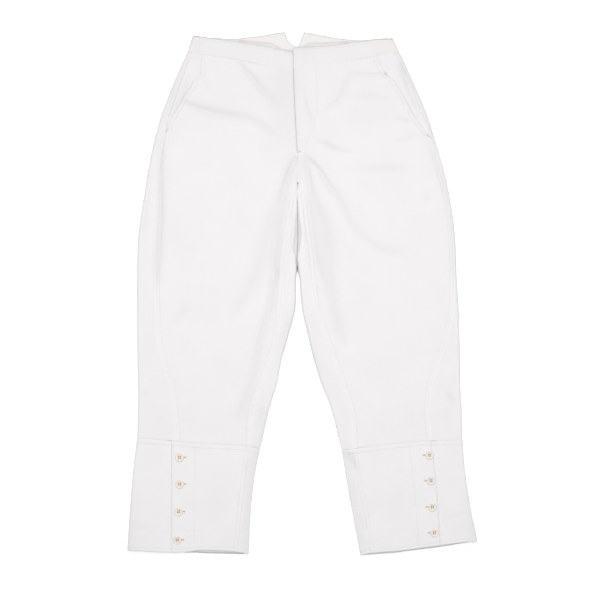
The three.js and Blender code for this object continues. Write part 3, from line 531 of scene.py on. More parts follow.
class Section:
    """A walk round the tube: out over the front, round the outer edge, back underneath,
    and round the inner edge to the seam where it began."""

    def __init__(self, form, y, top_level, start):
        self.form = form
        self.y = y
        outer = form.q_of("outer", y) - CLOTH / 2 - ROLL_WIDTH
        closed = form.closed(y)
        inner = form.q_of("inner", y)
        inner_roll = form.inner_roll(y)
        if closed:
            inner += CLOTH / 2 + inner_roll + form.opening(y)
        top = np.linspace(start, outer, TOP_PLACES)
        turn = np.linspace(0, math.pi, TURN_PLACES)[1:]
        heights = top_level(top)
        q = [top, outer + ROLL_WIDTH * np.sin(turn), [inner]]
        z = [heights, self._turn(heights[-1], BACK_LEVEL, turn), [BACK_LEVEL]]
        marks = [len(top) - 1, len(top) + len(turn) - 1, len(top) + len(turn)]
        marks.append(marks[-1])
        if closed:
            toe = self._toe(turn, inner_roll)
            strip = np.linspace(inner, form.inseam(y), STRIP_PLACES)
            strip_level = form.level(strip, y)
            q += [inner - inner_roll * np.sin(turn) - toe, strip[1:]]
            z += [self._turn(BACK_LEVEL, strip_level[0], turn), strip_level[1:]]
            marks[-1] += len(turn)
        self.q = np.concatenate(q)
        self.z = np.concatenate(z)
        self.s = np.concatenate([[0], np.cumsum(np.hypot(np.diff(self.q), np.diff(self.z)))])
        self.rising = len(top) + len(turn) // 2
        self.total = self.s[-1]
        self.outer_top, self.bottom_from, self.bottom_to, self.inner_top = self.s[marks]
        self.middle = (self.outer_top + self.bottom_from) / 2

    def _toe(self, turn, inner_roll):
        """How far the lower part of the inner turn reaches out, so that its tip is where it should be."""
        low = TOE_TURN["widest"] - TOE_TURN["less"] * away(self.y, TOE_TURN["from_y"], TOE_TURN["over"])
        swing = np.sin(np.minimum(turn * low, math.pi)) ** TOE_TURN["power"]
        wanted = inner_roll + self.form.toe(self.y)
        toe = self.form.toe(self.y)
        for _ in range(TOE_TRIES):
            toe += wanted - np.max(inner_roll * np.sin(turn) + toe * swing)
        return toe * swing

    @staticmethod
    def _turn(start, end, angle):
        return (start + end) / 2 + (start - end) / 2 * np.cos(angle)

    def reach(self, q):
        return float(np.interp(q, self.q[:self.rising], self.s[:self.rising]))

    def at(self, s):
        """x, y and z of the middle of the cloth at each length s round the walk."""
        q = np.interp(s, self.s, self.q)
        z = np.interp(s, self.s, self.z)
        under = (s > self.middle) & (s < (self.bottom_to + self.inner_top) / 2 + 0.01)
        x = q * self.form.out
        y = np.where(under, self.form.place(x, self.y, True), self.form.place(x, self.y, False))
        return np.stack([x, y, z], axis=-1)


def leg_form(side):
    def place(x, row_y, under):
        seam = (BACK_WAIST_SEAM if under else WAIST_SEAM)[side]
        waist = (along(seam, x) - TOP_Y) * ease(1 - (TOP_Y - row_y) / WAIST_BLEND)
        cuff = (along(CUFF_SEAM[side], x) - FOOT_Y) * ease(1 - (row_y - FOOT_Y) / CUFF_BLEND)
        return row_y + waist + cuff

    return Form(side, LEG[side], lambda y: y < CROTCH_Y - 1,
                lambda y: float(clamp((CROTCH_Y - y) / 15, 0.4, ROLL_WIDTH)), place)


def band_form(side):
    def place(x, row_y, under):
        seam = (BACK_WAIST_SEAM if under else WAIST_SEAM)[side]
        top = (BACK_WAIST_TOP if under else FRONT_WAIST_TOP)[side]
        low = along(seam, x) + SEAM_GAP
        return low + (along(top, x) - low) * row_y / BAND_NOMINAL

    return Form(side, BAND[side], lambda y: False, lambda y: ROLL_WIDTH, place)


def cuff_form(side):
    def place(x, row_y, under):
        top = along(CUFF_SEAM[side], x) - SEAM_GAP
        hem = along(HEM[side], x) + (-along(HEM_LOW[side], x) if under else along(HEM_SHORT[side], x))
        return top + (hem - top) * -row_y / CUFF_HEIGHT

    return Form(side, CUFF[side], lambda y: True, lambda y: ROLL_WIDTH, place)


# ---------------------------------------------------------------- rows and columns
EDGE_STEPS = np.array([0, 0.15, 0.4, 0.8, 1.25, 1.9, 2.7, 3.8, 5.0])
STITCH_STEPS = np.array([5.9, 6.5, 7.0, 7.5, 8.1, 9.2, 11.0])
MARK_STEPS = np.array([-1.8, -1.1, -0.55, 0, 0.55, 1.1, 1.8])
CLOSEST = 0.14


def stations(start, end, step, marks=()):
    """Even places from start down or up to end, closer at both ends and by each mark."""
    length = abs(end - start)
    found = [np.linspace(0, length, int(round(length / step)) + 1), EDGE_STEPS, length - EDGE_STEPS]
    found += [mark + MARK_STEPS for mark in marks]
    kept = []
    for place in np.sort(np.concatenate(found)):
        if place < 0 or place > length:
            continue
        if kept and place - kept[-1] < CLOSEST:
            continue
        kept.append(place)
    kept[-1] = length
    return start + np.array(kept) * (1 if end > start else -1)


def spread(start, end, count):
    """Places strictly between start and end."""
    return np.linspace(start, end, count + 2)[1:-1]


def squeezed(steps, room):
    """The steps, drawn together where there is little room for them."""
    return steps * min(1.0, room / steps[-1])


# ---------------------------------------------------------------- from grid to cloth
def outward(points, out):
    """Normals of a walked grid, out of the garment on both sides of it."""
    normal = np.cross(np.gradient(points, axis=1), np.gradient(points, axis=0)) * -out
    size = np.linalg.norm(normal, axis=-1, keepdims=True)
    return normal / np.maximum(size, 1e-9)


def edge_dip(distance, depth=0.9, reach=1.25, sink=0.25):
    """A turned edge rounds down over its last millimetre, and sinks a little into its seam."""
    t = clamp(1 - distance / reach, 0.0, 1.0)
    return -depth * (1 - np.sqrt(1 - 0.96 * t * t)) - sink * dome(distance, 2.6)


SEAM_DIP = 0.3
FAINT_DIP = 0.08
SEAM_REACH = 0.9
ALLOWANCE = {"lift": 0.4, "fall": 1.6, "rise": 1.5}
LAP_PUCKER = {"height": 0.24, "from_seam": 3.6, "reach": 4.5}
LAP_STITCH_DIP = 0.16
SEAM_PUCKER = {"height": 0.2, "from_seam": 2.0, "reach": 4.0}
WAIST_DIP = {"depth": 0.34, "middle_x": 10.0, "from_middle": 70.0, "over": 50.0}
# How much deeper the side seam is along the thigh, where that starts and how soon it is whole.
SIDE_DIP = {
    "right": {"depth": 0.08, "from_y": 20.0, "over": 60.0},
    "left": {"depth": 0.22, "from_y": -40.0, "over": 60.0},
}
SIDE_DIP_TOP = 300.0
SIDE_DIP_FADE = 20.0


def stitch_dip(distance, depth=0.45):
    """The line that a row of topstitching draws down."""
    return -depth * dome(distance, 1.15)


def lapped(distance, place, seed, depth=FAINT_DIP):
    """A seam with its allowance pressed under one side and topstitched down."""
    allowance = ALLOWANCE["lift"] * ease(1 - (distance - STITCH_IN) / ALLOWANCE["fall"])
    allowance = allowance * ease(distance / ALLOWANCE["rise"])
    near = dome(distance - LAP_PUCKER["from_seam"], LAP_PUCKER["reach"])
    pucker = LAP_PUCKER["height"] * near * ripple(place, seed)
    sewn = stitch_dip(distance - STITCH_IN, LAP_STITCH_DIP)
    return edge_dip(distance, depth, SEAM_REACH, depth) + allowance + pucker + sewn


def plain_seam(distance, place, seed, depth=FAINT_DIP):
    """A seam pressed open, with a few small puckers along it."""
    near = dome(distance - SEAM_PUCKER["from_seam"], SEAM_PUCKER["reach"])
    pucker = SEAM_PUCKER["height"] * near * ripple(place, seed)
    return edge_dip(distance, depth, SEAM_REACH, depth) + pucker


def waist_depth(x):
    """The waist seam shows toward the hips and is lost in the middle."""
    from_middle = np.abs(x - WAIST_DIP["middle_x"])
    return WAIST_DIP["depth"] * away(from_middle, WAIST_DIP["from_middle"], WAIST_DIP["over"])


def side_depth(side, row):
    """The side seam is drawn in along the thigh, and lies flat above and below."""
    dip = SIDE_DIP[side]
    thigh = away(row, dip["from_y"], dip["over"]) * away(SIDE_DIP_TOP - row, 0, SIDE_DIP_FADE)
    return FAINT_DIP + dip["depth"] * thigh


def make_mesh_piece(name, bm):
    mesh = bpy.data.meshes.new(name)
    bm.to_mesh(mesh)
    bm.free()
    piece = bpy.data.objects.new(name, mesh)
    bpy.context.scene.collection.objects.link(piece)
    return piece


def cloth_piece(name, surface, flat_place, normal, thickness, shade=None):
    """A sheet whose outer face is the surface, a grid of points, and which has its wall inside it."""
    rows, columns = surface.shape[:2]
    bm = bmesh.new()
    bmesh.ops.create_grid(bm, x_segments=columns - 1, y_segments=rows - 1, size=1.0)
    piece = make_mesh_piece(name, bm)
    mesh = piece.data
    start = np.empty(len(mesh.vertices) * 3)
    mesh.vertices.foreach_get("co", start)
    start = start.reshape(-1, 3)
    column = np.rint((start[:, 0] + 1) / 2 * (columns - 1)).astype(int)
    row = np.rint((start[:, 1] + 1) / 2 * (rows - 1)).astype(int)
    mesh.vertices.foreach_set("co", ((surface[row, column] + OFFSET) * MM).ravel())
    mesh.update()
    middle = mesh.polygons[len(mesh.polygons) // 2]
    corner = middle.vertices[0]
    if Vector(normal[row[corner], column[corner]]).dot(middle.normal) < 0:
        mesh.flip_normals()
    corners = np.empty(len(mesh.loops), dtype=np.int32)
    mesh.loops.foreach_get("vertex_index", corners)
    cloth_uv = mesh.uv_layers.new(name="Cloth")
    cloth_uv.data.foreach_set("uv", (flat_place[row, column] * MM)[corners].ravel())
    # The shade painted on the cloth goes to its material in this attribute: darker in creases, gaps and at
    # edges, lighter where it is below zero.
    if shade is not None:
        painted_shade_layer = mesh.attributes.new("PaintedShade", "FLOAT", "POINT")
        painted_shade_layer.data.foreach_set("value", shade[row, column].astype(np.float32))
    mesh.polygons.foreach_set("use_smooth", [True] * len(mesh.polygons))
    wall = piece.modifiers.new("wall", "SOLIDIFY")
    wall.thickness = thickness * MM
    wall.offset = -1.0
    wall.use_rim = True
    return piece


class Grid:
    """Rows of a walked grid, gathered one by one."""

    def __init__(self, form):
        self.form = form
        self.points = []
        self.lengths = []
        self.rows = []

    def add(self, section, lengths):
        self.points.append(section.at(lengths))
        self.lengths.append(lengths)
        self.rows.append(section.y)

    def close(self):
        self.points = np.array(self.points)
        self.lengths = np.array(self.lengths)
        self.row = np.repeat(np.array(self.rows)[:, None], self.lengths.shape[1], axis=1)
        self.from_start = self.lengths - self.lengths[:, :1]
        self.from_end = self.lengths[:, -1:] - self.lengths
        self.flat_place = np.stack([self.lengths, self.row], axis=-1)
        self.q = self.points[..., 0] * self.form.out

    def edge(self, name):
        """q of one line of the form's table, down the rows."""
        return np.array([self.form.q_of(name, row) for row in self.rows])[:, None]


FRONT_FROM = FRONT_LEVEL / 2 + 0.5          # whatever lies above this is the front
EDGE_FADE = {"outer": 9.0, "inner": 8.0, "waist": 12.0}


def fall_off(grid):
    """Creases die away at the folded edges, and don't reach the underside."""
    form = grid.form
    closed = np.array([form.closed(y) for y in grid.rows])[:, None]
    fade = away(grid.edge("outer") - grid.q, ROLL_WIDTH, EDGE_FADE["outer"])
    fade = fade * np.where(closed, away(grid.q - grid.edge("inner"), ROLL_WIDTH, EDGE_FADE["inner"]), 1.0)
    if form.rows is LEG[form.side]:
        fade = fade * away(TOP_Y - grid.row, -1, EDGE_FADE["waist"])
    return fade * (grid.points[..., 2] > FRONT_FROM)


UNDER_MARGIN = 8.0
UNDER_FADE = 14.0
SHIELD_REST = {"x": 5.0, "half_width": 70.0, "foot": 235.0, "fade": 15.0}


def under_fade(grid):
    """Where the underside is free to lift: not at its rolls, its seams or the fly shield."""
    x, y, z = (grid.points[..., k] for k in range(3))
    fade = (z < BACK_LEVEL + 0.01) * away(grid.edge("outer") - grid.q, UNDER_MARGIN, UNDER_FADE)
    fade = fade * away(grid.q - grid.edge("inner"), UNDER_MARGIN, UNDER_FADE)
    shield = away(y, SHIELD_REST["foot"], SHIELD_REST["fade"])
    shield = shield * away(SHIELD_REST["half_width"] - np.abs(x - SHIELD_REST["x"]), 0, SHIELD_REST["fade"])
    return fade * (1 - shield)


# How far from each edge of a leg its loft begins, and how far on it is whole.
LOFT_FROM = {"outer": (6.0, 42.0), "inner": (5.0, 34.0), "waist": (6.0, 90.0), "cuff": (4.0, 70.0)}


def loft_of(grid):
    """The front of a leg stands a little off its back, most in the middle."""
    across = (away(grid.edge("outer") - grid.q, *LOFT_FROM["outer"])
              * away(grid.q - grid.edge("inner"), *LOFT_FROM["inner"]))
    down = away(TOP_Y - grid.row, *LOFT_FROM["waist"]) * away(grid.row - FOOT_Y, *LOFT_FROM["cuff"])
    return LOFT * across * down


# Painted shade on the front of the legs: how much, where it begins and how far it reaches.
WAIST_SHADE = {"tone": 0.28, "from_y": 230.0, "over": 190.0}
POCKET_SHADE = {"tone": 0.35, "margin": -2.0, "width": 4.0, "from_y": 255.0, "over": 40.0}
CROTCH_SHADE = {"tone": 0.55, "x": -16.0, "y": 234.0, "wide": 24.0, "tall": 27.0}
OUTER_SHADE = {"margin": 1.5, "reach": 4.5}
INNER_SHADE = {"margin": 2.0, "reach": 7.0}


def painted_leg_shade(grid):
    """Painted shade on the front: darker toward the waist, beside the pockets, at the crotch, along the
    listed lines and at its edges.
    """
    side = grid.form.side
    x, y = grid.points[..., 0], grid.points[..., 1]
    beside = away(grid.q - grid.edge("side"), POCKET_SHADE["margin"], POCKET_SHADE["width"])
    tone = WAIST_SHADE["tone"] * away(grid.row, WAIST_SHADE["from_y"], WAIST_SHADE["over"])
    tone = tone + POCKET_SHADE["tone"] * beside * away(grid.row, POCKET_SHADE["from_y"], POCKET_SHADE["over"])
    from_outer = np.maximum(grid.edge("outer") - OUTER_SHADE["margin"] - grid.q, 0)
    tone = tone + along(OUTER_EDGE_SHADE[side], grid.row) * dome(from_outer, OUTER_SHADE["reach"])
    tone = tone + (CROTCH_SHADE["tone"] * dome(x - CROTCH_SHADE["x"], CROTCH_SHADE["wide"])
                   * dome(y - CROTCH_SHADE["y"], CROTCH_SHADE["tall"]))
    tone = tone + np.maximum(crease_height(SHADE_LINES, x, y), 0)
    from_inner = np.maximum(grid.q - grid.edge("inner") - INNER_SHADE["margin"], 0)
    tone = tone + along(INNER_EDGE_SHADE[side], grid.row) * dome(from_inner, INNER_SHADE["reach"])
    return tone * (grid.points[..., 2] > FRONT_FROM)


GAP_TIP = {"reach": 1.8, "share": 0.9, "from_y": 56.0, "over": 12.0}
GAP_SHADE = {"reach": 0.8, "foot_reach": 0.9, "foot": 62.0, "over": 10.0, "fade": 0.9, "below": 5.5}


def painted_gap_shade(grid):
    """Painted shade deep between the thighs, where little light comes back; painted lighter at the tips of
    their folds, which catch some.
    """
    form = grid.form
    edge = np.array([form.q_of("inner", row) + form.opening(row) for row in grid.rows])[:, None]
    tip = dome(grid.q - along(MEETING, grid.row) * form.out, GAP_TIP["reach"])
    lit = GAP_TIP["share"] * tip * away(grid.row, GAP_TIP["from_y"], GAP_TIP["over"])
    toward_foot = away(GAP_SHADE["foot"] - grid.row, 0, GAP_SHADE["over"])
    reach = GAP_SHADE["reach"] + GAP_SHADE["foot_reach"] * toward_foot
    inside = away(edge + reach - grid.q, 0, GAP_SHADE["fade"]) * (grid.points[..., 2] < GAP_SHADE["below"])
    return along(GAP_SHADE_ALONG_Y, grid.row) * (1 - lit) * inside


UNDER_ROOM = 0.1
UNDER_SETTLE = 0.12
UNDER_MOST = 1.1
CREASE_PAINTED_SHADE = 1.2                             # how much painted shade the deepest fold takes
DEEP_MOST = 9.0


def shape_cloth(grid, creases, under_creases=()):
    """Lays the creases on a walked grid; gives the middle of the cloth and the shade painted on it, darkest
    in its deepest folds.
    """
    x, y = grid.points[..., 0], grid.points[..., 1]
    fade = fall_off(grid)
    loft = loft_of(grid) if creases else 0.0
    folds = CREASE_GAIN * crease_height(creases, x, y) + settle_of(x, y)
    folds = soft_floor(folds + loft, -DEEPEST)
    points = grid.points.copy()
    points[..., 2] += folds * fade
    if under_creases:
        room = soft_floor(np.minimum(folds, 0), -DEEPEST) + DEEPEST + UNDER_ROOM
        lift = np.minimum(crease_height(under_creases, x, y), room) + UNDER_SETTLE * (settle_of(x, y) + 0.5)
        points[..., 2] += clamp(lift, 0.0, UNDER_MOST) * under_fade(grid)
    deep = clamp((loft - folds) * fade / DEEPEST, 0.0, DEEP_MOST)
    return points, CREASE_PAINTED_SHADE * (1 - np.exp(-deep)) + painted_leg_shade(grid) + painted_gap_shade(grid)


def place_at(points, lengths, wanted):
    """The points at one length along every row of a grid."""
    found = []
    for row_points, row_lengths, place in zip(points, lengths, wanted):
        found.append([np.interp(place, row_lengths, row_points[:, k]) for k in range(3)])
    return np.array(found)


# ---------------------------------------------------------------- leg panels
def pocket_mouth(side, y):
    pocket = POCKET[side]
    t = float(clamp((pocket["top"] - y) / (pocket["top"] - pocket["foot"]), 0.0, 1.0))
    return max(math.sin(math.pi * t), 0.0) ** 0.6


def pocket_q(side, y):
    return float(along(POCKET_EDGE[side], y)) * OUT[side]


def fly_lift(form, q, y):
    if form.side != "left":
        return 0.0
    from_edge = q - value_at(LEG["left"], "inseam", y)
    return FLY_LIFT * ease(1 - from_edge / FLY_SPREAD) * ease((y - FLY_END_Y + 20) / 20)


def pocket_lift(side, q, y):
    from_edge = pocket_q(side, y) - q
    inside = (from_edge > -1) & (from_edge < POCKET_SPREAD)
    fall = np.cos(math.pi / 2 * clamp(from_edge, 0.0, POCKET_SPREAD) / POCKET_SPREAD) ** 2
    return POCKET[side]["lift"] * pocket_mouth(side, y) * fall * inside


CENTRE_STEPS = np.concatenate([EDGE_STEPS, STITCH_STEPS,
                               [13.5, 16.5, 19.5, 22.5, 25.5, 28.5, 31.5, 34, 36, 37.2, 38, 38.7, 39.4,
                                40.1, 40.8, 41.6, 42.6, 44.5, 47]])
SIDE_STEPS = np.concatenate([EDGE_STEPS, STITCH_STEPS, [13.5, 16.5]])
POCKET_STITCHES = (2.4, 8.6)
LEG_ROWS = stations(TOP_Y, FOOT_Y, 2.6)
made = {}
outer_faces = {}
threads = []


def keep(name, grid, points, normal):
    outer_faces[name] = {"grid": grid, "points": points, "normal": normal}


# What sets one piece's small waves apart from another's.
SEEDS = {
    "front": {"right": 0.3, "left": 2.1},
    "back": {"right": 1.2, "left": 3.3},
    "facing": {"right": 0.9, "left": 2.7},
    "band": {"right": 0.7, "left": 1.9},
    "cuff": {"right": 0.5, "left": 2.4},
}
UNDERSIDE = 2.5                             # whatever lies below this is the underside
CROTCH_SPREAD = 20.0
FRONT_PLACES = 62                           # columns between a front panel's finely divided edges
FLY_EDGE = {"over": 8.0, "dip": 1.0, "reach": 2.2, "tone": 0.7, "tone_reach": 3.2}
FLY_UNDER = {"sink": 0.8, "reach": 5.5}     # the right front lies lower beside the left one's edge
CROTCH_SEAM_OVER = 12.0
MOUTH_OVER = 6.0                            # how softly the pocket's mouth begins and opens
MOUTH_OPEN_OVER = 10.0
MOUTH_STITCH_DIP = 0.35
MOUTH_BAND = {"lift": 0.35, "width": 8.0, "fall": 2.0}
MOUTH_PUCKER = {"height": 0.3, "from_edge": 4.0, "reach": 5.0, "calmed": 0.6}
FLY_RIDGE = {"foot": 275.0, "over": 30.0, "height": 0.26, "reach": 2.4}
FLY_TROUGH = {"depth": 0.22, "aside": 4.8, "reach": 1.6}
# Painted highlight along the seams of the lower legs: the shade is taken below zero there.
SEAM_HIGHLIGHT = {"below": 60.0, "inner": 0.6, "outer": 0.8, "reach": 2.5}


def centre_detail(side, a, row, seed, fly):
    """From the waist down: the fly's free edge, the crotch seam, then the lapped inseam."""
    below_crotch = away(CROTCH_Y - row, 4, CROTCH_SEAM_OVER)
    detail = fly * edge_dip(a, FLY_EDGE["dip"], FLY_EDGE["reach"])
    if side == "right":
        detail -= FLY_UNDER["sink"] * fly * dome(a, FLY_UNDER["reach"])
    detail += (1 - fly) * (1 - below_crotch) * plain_seam(a, row, seed)
    return detail + below_crotch * lapped(a, row, seed)


def pocket_side_detail(side, b, row, seed):
    """From the waist down: the pocket's free edge with its two rows of stitches, then the side seam."""
    pocket = POCKET[side]
    mouth = away(row, pocket["foot"] - 2, MOUTH_OVER)
    opened = away(pocket["top"] + 6 - row, 0, MOUTH_OPEN_OVER) * mouth
    edge = edge_dip(b, 0.1 + 0.6 * opened, 1.25, 0.1 + 0.15 * opened)
    band = MOUTH_BAND["lift"] * ease(1 - (b - MOUTH_BAND["width"]) / MOUTH_BAND["fall"])
    sewn = sum(stitch_dip(b - line, MOUTH_STITCH_DIP * (1 + opened)) for line in POCKET_STITCHES)
    pucker = (MOUTH_PUCKER["height"] * dome(b - MOUTH_PUCKER["from_edge"], MOUTH_PUCKER["reach"])
              * ripple(row, seed + 1) * (1 - mouth * MOUTH_PUCKER["calmed"]))
    seam = lapped(b, row, seed + 4, side_depth(side, row))
    return (1 - mouth) * seam + mouth * (edge + band + sewn + pucker)


def fly_stitch_detail(x, y, row):
    """The J-shaped row of stitches, with a soft ridge over it and a trough beside it."""
    from_stitch = distance_to(FLY_STITCH, x, y)
    ridge = FLY_RIDGE["height"] * dome(from_stitch, FLY_RIDGE["reach"])
    ridge -= FLY_TROUGH["depth"] * dome(from_stitch - FLY_TROUGH["aside"], FLY_TROUGH["reach"])
    return away(row, FLY_RIDGE["foot"], FLY_RIDGE["over"]) * ridge + stitch_dip(from_stitch, 0.2)


def end_seams(row, x, seed, top_depth):
    """The seams across the top and the foot of a leg panel."""
    return (plain_seam(TOP_Y - row, x, seed + 2, top_depth)
            + plain_seam(row - FOOT_Y, x, seed + 3, SEAM_DIP))


def make_front_panel(side):
    form = leg_form(side)
    grid = Grid(form)
    pocket = POCKET[side]
    for row_y in LEG_ROWS:
        start = form.inseam(row_y)

        def lifted(q, row_y=row_y):
            lift = pocket_lift(side, q, row_y) if row_y > pocket["foot"] else 0.0
            return form.level(q, row_y) + fly_lift(form, q, row_y) + lift

        section = Section(form, row_y, lifted, start)
        edge = pocket_q(side, row_y) if row_y > pocket["foot"] else form.q_of("side", row_y)
        clear = CROTCH_CLEAR * ease(1 - abs(row_y - CROTCH_Y) / CROTCH_SPREAD)
        first, last = SEAM_GAP / 2 + clear, section.reach(edge) - SEAM_GAP / 2
        grid.add(section, np.concatenate([
            first + CENTRE_STEPS,
            spread(first + CENTRE_STEPS[-1], last - SIDE_STEPS[-1], FRONT_PLACES),
            last - SIDE_STEPS[::-1]]))
    grid.close()
    points, shade = shape_cloth(grid, CREASES)
    normal = outward(points, form.out)
    row, a, b = grid.row, grid.from_start, grid.from_end
    seed = SEEDS["front"][side]
    x, y = points[..., 0], points[..., 1]
    fly = away(row, FLY_END_Y - 4, FLY_EDGE["over"])
    detail = centre_detail(side, a, row, seed, fly) + pocket_side_detail(side, b, row, seed)
    detail += end_seams(row, x, seed, waist_depth(x))
    if side == "left":
        detail += fly_stitch_detail(x, y, row)
    # Painted highlight along the inseam and side seam of the lower leg.
    pale = (SEAM_HIGHLIGHT["inner"] * dome(a, SEAM_HIGHLIGHT["reach"])
            + SEAM_HIGHLIGHT["outer"] * dome(b, SEAM_HIGHLIGHT["reach"]))
    # Painted shadow along the fly's edge, on both fronts.
    shade = shade + FLY_EDGE["tone"] * fly * dome(a, FLY_EDGE["tone_reach"])
    shade = shade - away(SEAM_HIGHLIGHT["below"] - row, 0, SEAM_HIGHLIGHT["below"]) * pale
    surface = points + normal * (CLOTH / 2 + detail)[..., None]
    keep(f"front_{side}", grid, surface, normal)
    made[f"front_{side}"] = cloth_piece(
        f"front_panel_cloth_{side}", surface, grid.flat_place, normal, CLOTH, shade)


BACK_START_STEPS = np.concatenate([EDGE_STEPS, [6.8, 9.0]])
BACK_END_PARTS = np.array([0.14, 0.28, 0.42, 0.54, 0.65, 0.74, 0.82, 0.88, 0.925, 0.955, 0.978, 0.992, 1])
BACK_PLACES = {"side": 10, "outer_turn": 13, "under": 70, "inner_turn": 12}
BACK_FLAT = {"deepest": -0.9, "share": 0.8}  # on the underside seams are pressed flatter


def make_back_panel(side):
    form = leg_form(side)
    grid = Grid(form)
    for row_y in LEG_ROWS:
        section = Section(form, row_y, lambda q, row_y=row_y: form.level(q, row_y), form.inseam(row_y))
        first = section.reach(form.q_of("side", row_y)) + SEAM_GAP / 2
        last = section.total - SEAM_GAP / 2
        closed = form.closed(row_y)
        tail = float(clamp(row_y - CROTCH_Y, TAIL_LEAST, TAIL_MOST))
        outer_from = max(section.outer_top, first + (section.bottom_from - first) * 0.25)
        bottom_to = section.bottom_to if closed else last - tail
        inner_from = section.inner_top if closed else last - tail / 4
        inner_from = min(inner_from, last - (last - section.bottom_to) * 0.25) if closed else inner_from
        near = first + squeezed(BACK_START_STEPS, (outer_from - first) * 0.6)
        grid.add(section, np.concatenate([
            near, spread(near[-1], outer_from, BACK_PLACES["side"]),
            [outer_from], spread(outer_from, section.bottom_from, BACK_PLACES["outer_turn"]),
            [section.bottom_from], spread(section.bottom_from, bottom_to, BACK_PLACES["under"]),
            [bottom_to], spread(bottom_to, inner_from, BACK_PLACES["inner_turn"]),
            [inner_from], inner_from + (last - inner_from) * BACK_END_PARTS]))
    grid.close()
    points, shade = shape_cloth(grid, CREASES, UNDER_CREASES)
    normal = outward(points, form.out)
    row, a, b = grid.row, grid.from_start, grid.from_end
    seed = SEEDS["back"][side]
    x, z = points[..., 0], points[..., 2]
    detail = plain_seam(a, row, seed, side_depth(side, row)) + plain_seam(b, row, seed + 1)
    detail += end_seams(row, x, seed, SEAM_DIP)
    flat = np.maximum(detail, BACK_FLAT["deepest"]) * BACK_FLAT["share"]
    detail = np.where(z < UNDERSIDE, flat, detail)
    # Painted highlight along both seams of the lower leg, on its top side.
    pale = SEAM_HIGHLIGHT["inner"] * (dome(a, SEAM_HIGHLIGHT["reach"]) + dome(b, SEAM_HIGHLIGHT["reach"]))
    shade = shade - away(SEAM_HIGHLIGHT["below"] - row, 0, SEAM_HIGHLIGHT["below"]) * pale * (z > UNDERSIDE)
    surface = points + normal * (CLOTH / 2 + detail)[..., None]
    surface[..., 2] = np.maximum(surface[..., 2], 0.0)
    keep(f"back_{side}", grid, surface, normal)
    made[f"back_{side}"] = cloth_piece(
        f"back_panel_cloth_{side}", surface, grid.flat_place, normal, CLOTH, shade)


FACING_PARTS = np.concatenate([[0, 0.05, 0.12], np.linspace(0.2, 0.8, 7), [0.88, 0.94, 0.975, 1]])
FACING_WAVE = {"height": 0.3, "from_edge": 10.0, "reach": 9.0, "pace": 0.35}
FACING_SUNK = 0.3


def make_pocket_facing(side):
    form = leg_form(side)
    grid = Grid(form)
    pocket = POCKET[side]
    for row_y in LEG_ROWS[LEG_ROWS >= pocket["facing_foot"]]:
        section = Section(form, row_y, lambda q, row_y=row_y: form.level(q, row_y), form.inseam(row_y))
        lift = pocket["lift"] * pocket_mouth(side, row_y)
        under = pocket["overlap"] * ease((lift - OVERLAP_NEEDS) / 0.3)
        first = section.reach(pocket_q(side, row_y) - under) + SEAM_GAP / 2
        last = section.reach(form.q_of("side", row_y)) - SEAM_GAP / 2
        grid.add(section, first + (last - first) * FACING_PARTS)
    grid.close()
    points, shade = shape_cloth(grid, [])
    normal = outward(points, form.out)
    row, seed = grid.row, SEEDS["facing"][side]
    detail = lapped(grid.from_end, row, seed) + plain_seam(TOP_Y - row, points[..., 0], seed)
    wave = dome(grid.from_start - FACING_WAVE["from_edge"], FACING_WAVE["reach"])
    detail += FACING_WAVE["height"] * wave * ripple(row * FACING_WAVE["pace"], seed) - FACING_SUNK
    surface = points + normal * (CLOTH / 2 + detail)[..., None]
    keep(f"facing_{side}", grid, surface, normal)
    made[f"facing_{side}"] = cloth_piece(
        f"pocket_side_cloth_{side}", surface, grid.flat_place, normal, CLOTH, shade)


def distance_to(line, x, y):
    """How far each place lies from a line in the plane."""
    best = np.full(x.shape, FAR)
    for (ax, ay), (bx, by) in zip(line[:-1], line[1:]):
        dx, dy = bx - ax, by - ay
        t = clamp(((x - ax) * dx + (y - ay) * dy) / (dx * dx + dy * dy), 0.0, 1.0)
        best = np.minimum(best, np.hypot(x - ax - t * dx, y - ay - t * dy))
    return best


FLY_STITCH = rounded([(25.6, 454.5), (26.6, 400.0), (27.2, 350.0), (25.2, 326.0), (18.6, 303.0),
                      (8.0, 280.0), (-5.6, 266.5)])[:, :2]


# ---------------------------------------------------------------- waistband
BAND_ROWS = stations(0, BAND_NOMINAL, 1.1)
# The edge of the facing inside the back of the waistband, as y over x.
FACING_LINE = {
    "right": [(-126, 470.6), (-115, 469.7), (-97, 467.9), (-78, 466), (-60, 464.2), (-47, 459.5), (-38, 453)],
    "left": [(-2, 455), (5, 461), (16, 464.3), (33, 464.5), (51, 465.5), (79, 467.0), (90, 466)],
}
FACING_FADE = {"left": 12.0, "right": 8.0}
FACING_SHADOW = {"tone": 1.7, "reach": 1.6}
FRONT_SHADOW = {"tone": 1.6, "clear": 0.6, "reach": 3.4}
BAND_PLACES = {"front": 58, "side": 4, "outer_turn": 12, "under": 52, "notch": 4}
BAND_SHADE = 0.25
BAND_TOP_LINE = {"middle_x": -4.0, "half_width": 34.0, "over": 14.0}
BAND_RIDGE = {"x": 25.0, "height": 0.24, "reach": 2.6}
BAND_TROUGH = {"x": 19.5, "depth": 0.2, "reach": 1.8}
BAND_WAVE = {"height": 0.18, "pace": 0.6, "margin": 6.0}


def painted_facing_shadow(side, grid):
    """Inside the back of the band: painted shadow at its facing's edge and beside the front, none between;
    also how much of the facing lies at each place.
    """
    x, y = grid.points[..., 0], grid.points[..., 1]
    line = y - along(FACING_LINE[side], x)
    front = np.maximum(y - along(FRONT_WAIST_TOP[side], x) - FRONT_SHADOW["clear"], 0)
    within = (away(x, FACING_LINE[side][0][0], FACING_FADE["left"])
              * away(FACING_LINE[side][-1][0] - x, 0, FACING_FADE["right"]))
    shadow = FACING_SHADOW["tone"] * dome(line, FACING_SHADOW["reach"]) * within
    shadow = shadow + FRONT_SHADOW["tone"] * dome(front, FRONT_SHADOW["reach"])
    return shadow, within * ease(line + 1.2)


